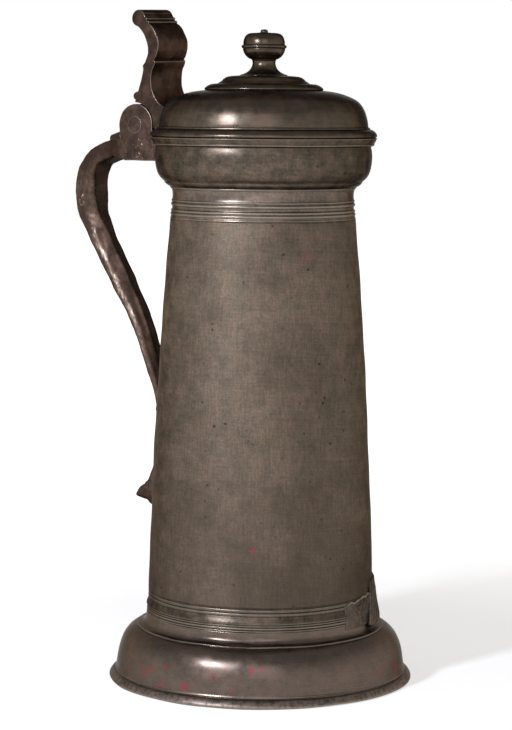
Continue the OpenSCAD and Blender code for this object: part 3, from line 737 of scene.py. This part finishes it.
def lid_profile():
    """Flange with a lip line, ovolo, hollow and bead, then the dome, open inside."""
    flange = smooth([(-1.4, 0), (-0.7, 0.1), (-0.2, 0.45), (0, 0.95), (-0.05, 1.5), (-0.35, 2.3),
                     (-0.9, 3.1), (-1.8, 3.95), (-2.9, 4.65), (-4.1, 5.1)], 3)
    hollow = [(-4.5, 5.3), (-4.65, 5.6), (-4.6, 5.95), (-4.8, 6.25), (-5.2, 6.35), (-5.6, 6.3)]
    dome = smooth([(-5.8, 6.7), (-5.9, 8.6), (-6.6, 12.3), (-7.9, 16.5), (-10.2, 20.6),
                   (-13.6, 23.9), (-19.8, 26.8), (-26.8, 28.8), (-34.6, 29.95)], 6)
    inside = smooth([(-34.6, 27.1), (-29, 26.4), (-22, 24), (-14, 18), (-9.6, 11), (-8.8, 5),
                     (-8.8, 0)], 4)
    seat = [(BORE_R - RIM_R, 30.1), (BORE_R - RIM_R, 27.1)]
    return lines((RIM_R, Z_LID), flange, hollow, dome, seat, inside, [(-1.4, 0)])


def boss_profile():
    """Rounded first step, a flat ledge, a short hollow and a rounded second step."""
    first = smooth([(-0.2, 0), (0.1, 0.5), (0.05, 1.1), (-0.8, 2), (-2.2, 2.9), (-4.2, 3.75),
                    (-6, 3.95), (-8.3, 4.15)], 4)
    second = smooth([(-8.8, 4.4), (-9.7, 5), (-11.1, 5.9), (-12.4, 7.2), (-13.7, 8.1),
                     (-15.5, 8.75), (-18, 9.05), (-22.3, 9.4)], 4)
    return lines((BOSS_R, Z_BOSS), first, second,
                 [(BORE_R - BOSS_R, 9.4), (BORE_R - BOSS_R, 0), (0, 0)])


def stem_profile():
    """Trumpet foot with a thin edge, narrowing to a waist."""
    side = smooth([(15.3, 0), (15.4, 0.3), (14.9, 0.6), (13.4, 1.05), (11.2, 2.1), (9.6, 3.3),
                   (8.5, 4.7), (7.75, 6.3), (7.4, 8), (7.6, 9.5), (8.2, 10.5)], 5)
    return lines((0, Z_STEM), side, [(BORE_R, 10.5), (BORE_R, 0), (15.3, 0)])


def knob_lower_profile():
    """Lower half of the bun, with a fillet and a groove under the girdle."""
    side = smooth([(8.2, 0), (9.5, 0.45), (11, 1.5), (12.2, 2.8), (13.1, 4.4), (13.55, 5.8)], 5)
    girdle = [(13.75, 6.2), (13.8, 6.5), (13.55, 6.8), (13.6, 7), (14.1, 7.25), (14.45, 7.5),
              (KNOB_R, 7.8)]
    return lines((0, Z_KNOB), side, girdle, [(BORE_R, 7.8), (BORE_R, 0), (8.2, 0)])


def knob_upper_profile():
    """Girdle's upper edge and a groove, then full shoulders round a flat top."""
    girdle = [(KNOB_R, 0), (14.65, 0.5), (14.45, 1), (14, 1.35), (13.5, 1.55), (13.4, 1.8),
              (13.5, 2.2)]
    side = smooth([(13.5, 2.4), (13.4, 3.7), (13.0, 5.4), (12.25, 7), (11.1, 8.2), (9.3, 9),
                   (6.5, 9.3), (4, 9.4), (3.2, 9.6)], 5)
    return lines((0, Z_GIRDLE), girdle, side, [(BORE_R, 9.6), (BORE_R, 0), (KNOB_R, 0)])


def rivet_profile():
    """Head inside the lid, shank and the rounded nub above the knob."""
    head = lines((0, Z_RIVET), [(0, 0), (3.5, 0), (4.7, 1), (5, 2.2), (SHANK_R, 2.2)])
    nub = smooth([(SHANK_R, 0), (2.35, 0.9), (1.7, 1.7), (0, 2)], 4)
    return np.vstack([head, lines((0, Z_KNOB_TOP), nub)])


# Outlines of the hinge, as distance behind the axis and height

def thumb_outline():
    """Side of the thumbpiece: roll, fillets, belly, groove, waist, toe on the lid and back lip."""
    shares = [(0.26, 0.955), (0.288, 0.938), (0.3, 0.928), (0.325, 0.925), (0.343, 0.919),
              (0.347, 0.911), (0.338, 0.903), (0.348, 0.898), (0.375, 0.896), (0.394, 0.89),
              (0.399, 0.881), (0.392, 0.873), (0.42, 0.866), (0.475, 0.85), (0.55, 0.815),
              (0.65, 0.742), (0.67, 0.7), (0.655, 0.645), (0.61, 0.597), (0.575, 0.574),
              (0.555, 0.565), (0.55, 0.557), (0.575, 0.545),
              (0.572, 0.53), (0.545, 0.505), (0.5, 0.475), (0.47, 0.43), (0.46, 0.384),
              (0.475, 0.323), (0.54, 0.26), (0.655, 0.2), (0.8, 0.164), (1, 0.142)]
    back = [(0.01, 0.216), (-0.035, 0.228), (-0.05, 0.247), (-0.035, 0.268), (0.02, 0.281),
            (0.085, 0.288), (0.112, 0.31), (0.17, 0.384), (0.225, 0.47), (0.215, 0.508),
            (0.25, 0.528), (0.28, 0.542), (0.35, 0.605), (0.36, 0.645), (0.345, 0.69),
            (0.27, 0.765), (0.15, 0.823), (0.07, 0.849)]
    front = smooth(shares, 4)
    behind = smooth(back, 4)
    place = np.array([-THUMB_DEPTH, THUMB_H])
    base = np.array([PIN_X, PIN_Z])
    roll = base + place * (0.098, 0.921)
    scroll = arc(roll, THUMB_H * 0.0725, -78, 150, 40)
    lip = arc(base, SLOT_R - 0.2, 184, 91, 30)
    toe = [(DOME_R - 4.2, Z_LID + 13.4), (DOME_R - 3.2, Z_LID + 5.6), (DOME_R + 3, Z_LID + 4.6),
           (DOME_R + 6.5, Z_LID + 3.2)]
    return np.vstack([base + place * front, toe, lip, base + place * behind, scroll])


def leaf_outline():
    """Knuckle round the pin and the leaf that joins it to the thumbpiece above the lid's flange."""
    knuckle = arc((PIN_X, PIN_Z), LUG_R - 0.8, 180, 435, 60)
    neck = [(PIN_X - 1, PIN_Z + 18), (DOME_R - 2, Z_LID + 15), (DOME_R - 2.4, Z_LID + 7.4)]
    return np.vstack([knuckle, neck])


def lug_outline():
    """Tombstone lug: a round head over straight sides that sink into the block."""
    middle = PIN_X - 0.6
    head = arc((middle, PIN_Z), LUG_R, -12, 180, 60)
    feet = [(middle - LUG_R, Z_RIM - 3), (middle - LUG_R + 2, BLOCK_Z + 4),
            (middle + LUG_R - 6, BLOCK_Z + 5), (middle + LUG_R - 1.2, PIN_Z - 11),
            (middle + LUG_R - 0.4, PIN_Z - 6)]
    return np.vstack([head, even(feet, 1.5)])


def block_outline():
    """Hinge block: flat bottom, bevelled back end, sloping shoulder and the knuckle's hollow."""
    hollow = arc((PIN_X, PIN_Z), SLOT_R, -19, -128, 30)
    corner = smooth([(BLOCK_X + 0.7, PIN_Z - 10), (BLOCK_X + 0.6, PIN_Z - 8.6),
                     (BLOCK_X - 0.3, PIN_Z - 7.3), (BLOCK_X - 2.4, PIN_Z - 6.6),
                     (PIN_X + SLOT_R - 0.4, PIN_Z - 4.9)], 4)
    under = smooth([(DRUM_R1 + 7, BLOCK_Z + 1.5), (DRUM_R1 + 8.6, BLOCK_Z + 0.2),
                    (PIN_X + 6, BLOCK_Z), (PIN_X + 9, BLOCK_Z + 0.6), (PIN_X + 13, BLOCK_Z + 3),
                    (PIN_X + 18, BLOCK_Z + 6.5), (BLOCK_X, BLOCK_Z + 9.5),
                    (BLOCK_X + 0.6, BLOCK_Z + 12)], 5)
    sides = np.vstack([under, corner])
    front = [(RIM_R - 3, Z_RIM - 6), (DRUM_R1 + 7, Z_RIM - 8)]
    return np.vstack([even(sides, 1.2), hollow, front])


# The strap's line from the block to its tail: shares of the reach behind the pin and of the drop,
# then of the thickness and of the width
STRAP_SHARES = [(0.08, 0.0, 0.8, 1.2), (0.2, 0.0, 0.79, 1.19), (0.31, 0.0, 0.76, 1.115),
                (0.414, 0.0, 0.735, 1.03), (0.595, 0.014, 0.7, 0.9),
                (0.721, 0.028, 0.69, 0.83), (0.795, 0.051, 0.745, 0.79), (0.847, 0.078, 0.86, 0.76),
                (0.861, 0.119, 0.925, 0.75), (0.847, 0.154, 0.935, 0.75),
                (0.812, 0.192, 0.88, 0.75), (0.742, 0.224, 0.835, 0.75),
                (0.617, 0.278, 0.78, 0.745), (0.394, 0.364, 0.765, 0.74),
                (0.314, 0.398, 0.71, 0.735), (0.15, 0.462, 0.62, 0.73), (0.008, 0.53, 0.56, 0.72),
                (-0.057, 0.572, 0.54, 0.71), (-0.175, 0.642, 0.53, 0.7),
                (-0.27, 0.711, 0.51, 0.69), (-0.305, 0.766, 0.5, 0.68),
                (-0.31, 0.822, 0.48, 0.67), (-0.285, 0.886, 0.53, 0.66),
                (-0.235, 0.944, 0.76, 0.655), (-0.17, 0.993, 1.14, 0.65),
                (-0.025, 0.999, 0.72, 0.64), (0.05, 1.006, 0.38, 0.62), (0.082, 1.009, 0.22, 0.56)]
# Half sections of the strap as shares of its width and thickness: in the block, round the bend, and
# below it, where hands have worn it round
ROOT_SHARES = [(0.46, 0), (0.49, 0.02), (0.5, 0.08), (0.5, 0.3), (0.5, 0.6), (0.5, 0.8),
               (0.5, 0.94), (0.47, 0.99), (0.25, 1), (0, 1)]
BEND_SHARES = [(0.3, 0), (0.41, 0.07), (0.47, 0.19), (0.49, 0.4), (0.5, 0.6), (0.5, 0.8),
               (0.5, 0.9), (0.49, 0.96), (0.44, 1.01), (0, 1.03)]
WORN_SHARES = [(0.14, 0), (0.205, 0.06), (0.265, 0.18), (0.347, 0.34), (0.432, 0.5), (0.476, 0.66),
               (0.497, 0.82), (0.485, 0.92), (0.42, 1.0), (0, 1.07)]


def rounded(shares):
    """A half section mirrored to a whole one, with its corners cut three times."""
    half = np.array(shares)
    ring = np.vstack([half, half[:-1][::-1] * (-1, 1)])
    for _ in range(3):
        after = np.roll(ring, -1, 0)
        ring = np.stack([0.75 * ring + 0.25 * after, 0.25 * ring + 0.75 * after], 1).reshape(-1, 2)
    return ring


def strap_shell():
    """The strap from the block round the bend, where it gets rounder, down to its tail."""
    top = np.array([PIN_X, BLOCK_Z + 7.26])
    stations = smooth(STRAP_SHARES, 9)
    back, down = stations[:, :1], stations[:, 1:2]
    path = top + stations[:, :2] * (HANDLE_OUT, Z_DRUM + TAIL_UP - top[1])
    past = down > 0.1
    bent = np.maximum(unit((back - 0.2) / 0.4), past)[..., None]
    worn = unit((down - 0.13) / 0.13)[..., None]
    root, bend, low = (rounded(shares) for shares in (ROOT_SHARES, BEND_SHARES, WORN_SHARES))
    section = (root * (1 - bent) + bend * bent) * (1 - worn) + low * worn
    shell = swept(path, stations[:, 2:] * (STRAP_T, STRAP_W), section)

    # Below the bend its near and far edges get a lighter band of rubbed bare metal, laid where the
    # lamp's highlight falls, so partly wear and partly painted highlight; its inner face, turned to
    # the drum, gets painted shade
    side, out = np.abs(section[..., 0]), section[..., 1]
    rubbed = np.exp(-((out - 0.64) / 0.26) ** 2 - (side - 0.46) ** 2 / 0.03)
    inner = unit(1.2 - out / 0.1) * np.maximum(unit(back * 3), past)
    grain = ripples(shell["points"], 2.0, 15) + 0.8 * ripples(shell["points"], 9, 16)
    tail = unit((0.62 - down) / 0.1)
    rubbed = rubbed * worn[..., 0] * tail * (0.6 + 0.28 * grain.reshape(rubbed.shape))
    shell["relief_and_light"] = np.clip(shell["relief_and_light"] * 0.3 + (rubbed - 0.55 * inner).ravel(), -1, 1)
    return shell


# Operators

class FLAGON_OT_vessel(bpy.types.Operator):
    """Turns the foot, the bands, the drum and the collar"""
    bl_idname = "flagon.vessel"
    bl_label = "Vessel"
    bl_options = {"REGISTER", "UNDO"}

    def execute(self, context):
        """Each piece is a profile turned about the axis, closed on itself through its inside."""
        metal, dents = finishes(), context.scene.flagon_shape.dents / MM
        side = np.column_stack([drum_radius(np.linspace(0, 1, 90)),
                                np.linspace(Z_DRUM, Z_UPPER, 90)])
        drum = np.vstack([side, side[::-1] - (WALL, 0), side[:1]])
        pieces = (("foot", foot_profile(), "dark_pewter", "pewter_foot", dents * 0.8),
                  ("lower_band", lower_band_profile(), "worn_pewter", "pewter_collar", dents * 0.4),
                  ("drum", drum, "worn_pewter", "pewter_drum", dents),
                  ("upper_band", upper_band_profile(), "worn_pewter", "pewter_neck", dents * 0.3),
                  ("collar", collar_profile(), "worn_pewter", "pewter_collar", dents * 0.4))
        for name, outline, slot, material, uneven in pieces:
            shell = turned(outline, uneven, ring=True, spacing=2.2 if name == "drum" else 0.8)
            hollow = 0.35 if name == "foot" else 0.55
            shell["relief_and_light"] *= np.where(shell["relief_and_light"] > 0, 1.2, hollow)
            finish("visual_" + name, [shell], "vessel", metal[material], [name])
        return {"FINISHED"}


class FLAGON_OT_lid(bpy.types.Operator):
    """Turns the lid's dome, the boss, the stem, the knob and its rivet"""
    bl_idname = "flagon.lid"
    bl_label = "Lid"
    bl_options = {"REGISTER", "UNDO"}

    def execute(self, context):
        """Each piece is a profile turned about the axis: all but the rivet have a bore for it."""
        metal, dents = finishes(), context.scene.flagon_shape.dents / MM
        pieces = (("lid_dome", lid_profile(), "pewter_lid", 0.35),
                  ("lid_boss", boss_profile(), "pewter_lid", 0.5),
                  ("finial_stem", stem_profile(), "pewter_knob", 0.3),
                  ("knob_lower", knob_lower_profile(), "pewter_knob", 0.3),
                  ("knob_upper", knob_upper_profile(), "pewter_knob", 0.3),
                  ("finial_rivet", rivet_profile(), "pewter_knob", 0.0))
        for name, outline, material, uneven in pieces:
            bored = name != "finial_rivet"
            shell = turned(outline, dents * uneven, ring=bored, spacing=0.7)
            shell["relief_and_light"] *= 0.7 if bored else 0.2
            finish("visual_" + name, [shell], "lid", metal[material], [name],
                   weld=not bored)
        return {"FINISHED"}


class FLAGON_OT_thumbpiece(bpy.types.Operator):
    """Shapes the scroll thumbpiece and its knuckle"""
    bl_idname = "flagon.thumbpiece"
    bl_label = "Thumbpiece"
    bl_options = {"REGISTER", "UNDO"}

    def execute(self, context):
        """Two rounded slabs: the wide scroll and the narrow leaf with the knuckle."""
        scroll = moved(plate(thumb_outline(), HINGE_W - 0.1, 0.7), self.leaning)
        leaf = plate(leaf_outline(), KNUCKLE_W, 0.3)
        shells = [roughened(shell, 0.12, 14, 5) for shell in (scroll, leaf)]
        finish("visual_thumbpiece", shells, "lid", finishes()["pewter_thumb"],
               ["thumbpiece"])
        return {"FINISHED"}

    def leaning(self, points):
        """The scroll as it was cast: its far side rises a little and widens towards the lid."""
        x, y, z = points.T
        across = y + HINGE_W / 2
        high = unit((z - Z_LID - 20) / 30)
        wide = np.interp(z - PIN_Z, [18, 33, 52, 62, THUMB_H], [0.08, 0.065, 0.02, 0, -0.05])
        return np.column_stack([x, y + across * wide, z + across * TWIST * high])


class FLAGON_OT_hinge(bpy.types.Operator):
    """Shapes the hinge block, its two lugs and the plugs over the pin's ends"""
    bl_idname = "flagon.hinge"
    bl_label = "Hinge"
    bl_options = {"REGISTER", "UNDO"}

    def execute(self, context):
        """A tapered block, two tombstone lugs, rough solder on their sides and two turned plugs."""
        metal, lumps = finishes()["pewter_hinge"], context.scene.flagon_shape.lumps / MM
        lug_w = (HINGE_W - KNUCKLE_W) / 2 - 0.3
        taper = ([PIN_X + 7, PIN_X + 11, PIN_X + 15, BLOCK_X], [1, 0.975, 0.91, 0.8])
        shells = [plate(block_outline(), HINGE_W - 0.3, 0.8, taper)]
        # Faces of the block that look downwards get painted shade through their relief
        shells[0]["relief_and_light"] -= unit(-2 * shells[0]["way"][:, 2] - 0.6)
        for side in (-1, 1):
            shells.append(plate(lug_outline(), lug_w, 0.6, middle=side * (HINGE_W - lug_w) / 2))
            shells.append(self.solder(side, lumps))
        shells = [roughened(shell, 0.1, 11, 8) for shell in shells]
        finish("visual_hinge_lugs", shells, "vessel", metal, ["hinge_lugs"])
        for side, name in ((-1, "pin_plug_front"), (1, "pin_plug_back")):
            low, high = corners(name)
            radius, length = (high[0] - low[0]) / 2, high[1] - low[1]
            outline = smooth([(0, 0), (radius, 0), (radius, length - 0.5),
                              (radius - 0.5, length - 0.1), (0, length + 0.1)], 4)
            face = (high if side > 0 else low)[1]
            plug = moved(turned(outline, spacing=0.6), lambda p: np.column_stack([
                p[:, 0] - PIN_X, side * (p[:, 2] - length) + face, p[:, 1] + PIN_Z]))
            finish("visual_" + name, [plug], "vessel", metal, [name], weld=True)
        return {"FINISHED"}

    def solder(self, side, lumps):
        """Lumpy crust on the block's side under a lug: smooth noise over a soft-edged patch."""
        across = np.linspace(-1, 1, 90)[None, :]
        up = np.linspace(-1, 1, 70)[:, None]
        x = CRUST_SIZE[0] * across - CRUST_PLACE[0] + 0 * up
        z = CRUST_SIZE[1] * up + CRUST_PLACE[1] + 0 * across

        def upright(out):
            return np.stack([x, side * (HINGE_W / 2 + out) + 0 * x, z], axis=-1)

        flat = upright(0)
        edge = unit(1.2 - across ** 6 - up ** 6)
        trail = np.exp(-(across / 0.45) ** 2) * unit(0.6 + 0.6 * ripples(flat, 7, 23))
        crumbs = unit(ripples(flat, 1.7, 22) - 0.35) * trail
        rise = lumps * (0.25 + 0.1 * ripples(flat, 5, 21) + 0.35 * crumbs)
        sheet = crust(upright(rise * edge - 0.9 * (1 - edge) ** 2), upright(-2))
        sheet["relief_and_light"][:crumbs.size] += 1.3 * crumbs.ravel()
        return sheet


class FLAGON_OT_handle(bpy.types.Operator):
    """Sweeps the strap handle"""
    bl_idname = "flagon.handle"
    bl_label = "Handle"
    bl_options = {"REGISTER", "UNDO"}

    def execute(self, context):
        """One section with worn edges carried along the handle's line."""
        strap = roughened(roughened(strap_shell(), 0.2, 17, 11), 0.07, 4, 12)
        points = strap["points"]
        knot = near(points, *KNOT)
        rise = knot * (0.5 + 0.35 * ripples(points, 3.5, 17))
        rise = rise + 1.6 * near(points, *NUB) * unit(-strap["way"][:, 0])
        strap["points"] = points + strap["way"] * rise[:, None]
        crumbs = knot * ripples(strap["points"], 2.5, 18)
        strap["relief_and_light"] = np.clip(strap["relief_and_light"] + crumbs, -1, 1)
        finish("visual_handle_strap", [strap], "vessel",
               finishes()["pewter_handle"], ["handle_strap"])
        return {"FINISHED"}


class FLAGON_OT_repair(bpy.types.Operator):
    """Lays the reeded repair plate and the patch of rough solder on the foot"""
    bl_idname = "flagon.repair"
    bl_label = "Repair"
    bl_options = {"REGISTER", "UNDO"}

    def execute(self, context):
        """Both are crusts over the band: one with reeds, one with lumps."""
        lumps = context.scene.flagon_shape.lumps / MM
        for name, shell, slot in (("repair_plate", self.reeded(), "repair_pewter"),
                                  ("repair_solder", self.rough(lumps), "rough_solder")):
            finish("visual_" + name, [shell], "vessel", finishes()["solder_rough"], [name])
        return {"FINISHED"}

    def wrap(self, line, share, ends):
        """A line of radius and height carried round the axis between each row's two angles."""
        start, end = (np.broadcast_to(np.radians(e), len(line))[:, None] for e in ends)
        turn = start + (end - start) * share[None, :]
        return line[:, :1] + 0 * turn, turn, line[:, 1:] + 0 * turn

    def edge(self, line):
        """Angles at which the plate's straight upright edge crosses each row."""
        return np.degrees(np.arcsin(PLATE_X / line[:, 0])) - PLATE_TURN

    def sheet(self, out, under, turn, z, relief_and_light):
        """Crust from two grids of radii, with relief added to its outer face."""
        shell = crust(about_axis(out, turn, z), about_axis(under, turn, z))
        shell["relief_and_light"][:relief_and_light.size] += relief_and_light.ravel()
        return shell

    def reeded(self):
        """Plate from the foot's edge line up to the drum, with rounded upright reeds."""
        line = smooth([(77.4, 38.2), (79.0, 40.2), (78.6, 44.5), (77.7, 49), (76.9, 54),
                       (76.3, 58.5), (75.5, 63), (74.8, Z_DRUM + 9)], 10)
        share = np.linspace(0, 1, 260)
        r, a, z = self.wrap(line, share, (self.edge(line), PLATE_END))
        along = (a - np.radians(self.edge(line))[:, None]) * REEDS_R
        wave = np.cos(along / REED_PITCH * 2 * math.pi)
        soft = ripples(about_axis(r, a, z), 7, 31)
        low = unit(along / 1.2)
        # Through the relief the reeds' crests get painted highlights and their grooves painted
        # shade
        return self.sheet(r + 0.16 * wave + 0.12 * soft - 0.7 * (1 - low) ** 2, r - 2.6, a, z,
                          0.85 * wave * (0.8 + 0.3 * soft) * (0.4 + 0.6 * low) - 0.1)

    def rough(self, lumps):
        """Solder brushed over the band's mouldings, thin at its ends, with a wavy upper lip."""
        line = smooth([(77.2, 41), (76.5, 44), (76.1, 48), (75.8, 52), (75.4, 56),
                       (74.6, 61.5)], 14)
        share = np.linspace(0, 1, 200)
        r, a, z = self.wrap(line, share, (SOLDER_END, self.edge(line) + 1.2))
        up = np.linspace(0, 1, len(line))[:, None]
        across = share[None, :]
        droop = 0.7 + 0.6 * ripples(about_axis(r, a, 0 * z), 9, 43) + 2.6 * (1 - across) ** 2
        z = z - droop * up
        here = about_axis(r, a, z)
        streaks = ripples(here * (1, 1, 3), 9, 41)
        thin = unit(across / 0.25) * unit(8 * (1 - up)) * unit(3 * up)
        lip = np.exp(-((up - 0.93) / 0.03) ** 2) * unit(across / 0.1)
        rise = lumps * (0.1 + 0.14 * streaks + 0.1 * ripples(here, 3, 42)) * thin
        # Through the relief the upper lip gets a painted highlight
        return self.sheet(r + rise + 0.5 * lip - 0.9 * (1 - thin) ** 2, r - 2.4, a, z,
                          0.8 * lip + 0.3 * streaks * thin)


class FLAGON_OT_fittings(bpy.types.Operator):
    """Gives the plain hidden fittings their finish"""
    bl_idname = "flagon.fittings"
    bl_label = "Fittings"
    bl_options = {"REGISTER", "UNDO"}

    def execute(self, context):
        """The base plate, bezel, pin and washer keep their solids."""
        for name, material in (("base_plate", "pewter_drum"), ("lid_bezel", "pewter_drum"),
                               ("hinge_pin", "pewter_handle"), ("rivet_washer", "pewter_drum")):
            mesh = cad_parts[name].data
            mesh.materials.clear()
            mesh.materials.append(finishes()[material])
        return {"FINISHED"}


class FLAGON_OT_stage(bpy.types.Operator):
    """Sets the pale floor, the world, the lamps and the camera"""
    bl_idname = "flagon.stage"
    bl_label = "Stage"

    def execute(self, context):
        """Everything round the flagon that isn't part of it."""
        stage = context.scene.flagon_stage
        context.scene.view_settings.view_transform = "Standard"
        self.floor()
        self.world(context.scene)
        self.camera(context.scene, stage)
        self.lamp("key_lamp", stage.key_power, *KEY)
        self.lamp("fill_lamp", stage.fill_power, *FILL)
        return {"FINISHED"}

    def shown(self, tree):
        """1 for what the camera, a reflection or a refraction sees, 0 for light on the object."""
        path = add(tree, "ShaderNodeLightPath")
        seen = calc(tree, "ADD", path.outputs["Is Camera Ray"], path.outputs["Is Glossy Ray"], True)
        return calc(tree, "ADD", seen, path.outputs["Is Transmission Ray"], True)

    def floor(self):
        """Pale round floor that keeps the shadow and shows nearly white."""
        a = np.linspace(0, 2 * math.pi, FLOOR_SIDES, endpoint=False)
        rim = about_axis(FLOOR_R, a, np.full(FLOOR_SIDES, FLOOR_Z))
        mesh = bpy.data.meshes.new("floor")
        mesh.from_pydata(rim.tolist(), [], [list(range(FLOOR_SIDES))])
        material, tree, shader = principled("paper_floor")
        shader.inputs["Base Color"].default_value = (*linear("#E9E7E4"), 1)
        shader.inputs["Roughness"].default_value = 0.9
        shader.inputs["Emission Color"].default_value = (1, 1, 1, 1)
        here = add(tree, "ShaderNodeTexCoord").outputs["Object"]
        glow = span(tree, vector(tree, "LENGTH", here), *FLOOR_GLOW)
        tree.links.new(calc(tree, "MULTIPLY", self.shown(tree), glow),
                       shader.inputs["Emission Strength"])
        mesh.materials.append(material)
        floor = bpy.data.objects.new("floor", mesh)
        bpy.context.collection.objects.link(floor)

    def world(self, scene):
        """White where it is seen, and a dimmer plain light on the object."""
        world = bpy.data.worlds.new("studio")
        world.use_nodes = True
        tree = world.node_tree
        back = tree.nodes["Background"]
        way = add(tree, "ShaderNodeTexCoord").outputs["Generated"]
        height = add(tree, "ShaderNodeSeparateXYZ", {0: way}).outputs[2]
        high = blend(tree, span(tree, height, 0.2, 0.7), (1.0, 1.0, 1.0), linear("#A6A6A6"))
        colour = blend(tree, self.shown(tree), linear("#8C8A87"), high)
        tree.links.new(colour, back.inputs["Color"])
        back.inputs["Strength"].default_value = 1.0
        scene.world = world

    def camera(self, scene, stage):
        """Camera that looks as the photograph does, from beside the key lamp."""
        data = bpy.data.cameras.new("camera")
        data.sensor_width = 36
        data.lens = LENS
        camera = bpy.data.objects.new("camera", data)
        scene.collection.objects.link(camera)
        place = Matrix.Translation((stage.distance * math.sin(stage.azimuth),
                                    -stage.distance * math.cos(stage.azimuth), stage.height))
        turn = Matrix.Rotation(stage.azimuth + math.radians(TURN), 4, "Z")
        pitch = Matrix.Rotation(math.radians(90 - DOWN), 4, "X")
        roll = Matrix.Rotation(math.radians(ROLL), 4, "Z")
        camera.matrix_world = place @ turn @ pitch @ roll
        scene.camera = camera

    def lamp(self, name, power, size, place, colour):
        """Square lamp that faces the middle of the flagon."""
        data = bpy.data.lights.new(name, "AREA")
        data.energy = power
        data.color = linear(colour)
        data.size = size
        lamp = bpy.data.objects.new(name, data)
        bpy.context.collection.objects.link(lamp)
        aim = np.array(AIM) - np.array(place)
        yaw = math.atan2(aim[0], -aim[1])
        tilt = math.atan2(math.hypot(aim[0], aim[1]), -aim[2])
        lamp.matrix_world = (Matrix.Translation(place) @ Matrix.Rotation(yaw + math.pi, 4, "Z")
                             @ Matrix.Rotation(tilt, 4, "X"))


BUILDERS = (FLAGON_OT_vessel, FLAGON_OT_lid, FLAGON_OT_thumbpiece, FLAGON_OT_hinge,
            FLAGON_OT_handle, FLAGON_OT_repair, FLAGON_OT_fittings, FLAGON_OT_stage)


class FLAGON_PT_panel(bpy.types.Panel):
    """Builders and settings of the flagon"""
    bl_label = "Flagon"
    bl_idname = "FLAGON_PT_panel"
    bl_space_type = "VIEW_3D"
    bl_region_type = "UI"
    bl_category = "Flagon"

    def draw(self, context):
        layout = self.layout
        for builder in BUILDERS:
            layout.operator(builder.bl_idname)
        for group in (context.scene.flagon_shape, context.scene.flagon_finish,
                      context.scene.flagon_stage):
            box = layout.box()
            for name in group.__annotations__:
                box.prop(group, name)


GROUPS = {"flagon_finish": FlagonFinish, "flagon_shape": FlagonShape, "flagon_stage": FlagonStage}


def register():
    """Registers the classes and hangs the settings on the scene."""
    for cls in (*GROUPS.values(), *BUILDERS, FLAGON_PT_panel):
        bpy.utils.register_class(cls)
    for name, cls in GROUPS.items():
        setattr(bpy.types.Scene, name, bpy.props.PointerProperty(type=cls))


def unregister():
    """Takes the settings and classes away again."""
    for name in GROUPS:
        delattr(bpy.types.Scene, name)
    for cls in (FLAGON_PT_panel, *BUILDERS[::-1], *GROUPS.values()):
        bpy.utils.unregister_class(cls)


def main():
    """Builds every piece in order."""
    register()
    for builder in BUILDERS:
        group, name = builder.bl_idname.split(".")
        getattr(getattr(bpy.ops, group), name)()


if __name__ == "__main__":
    main()
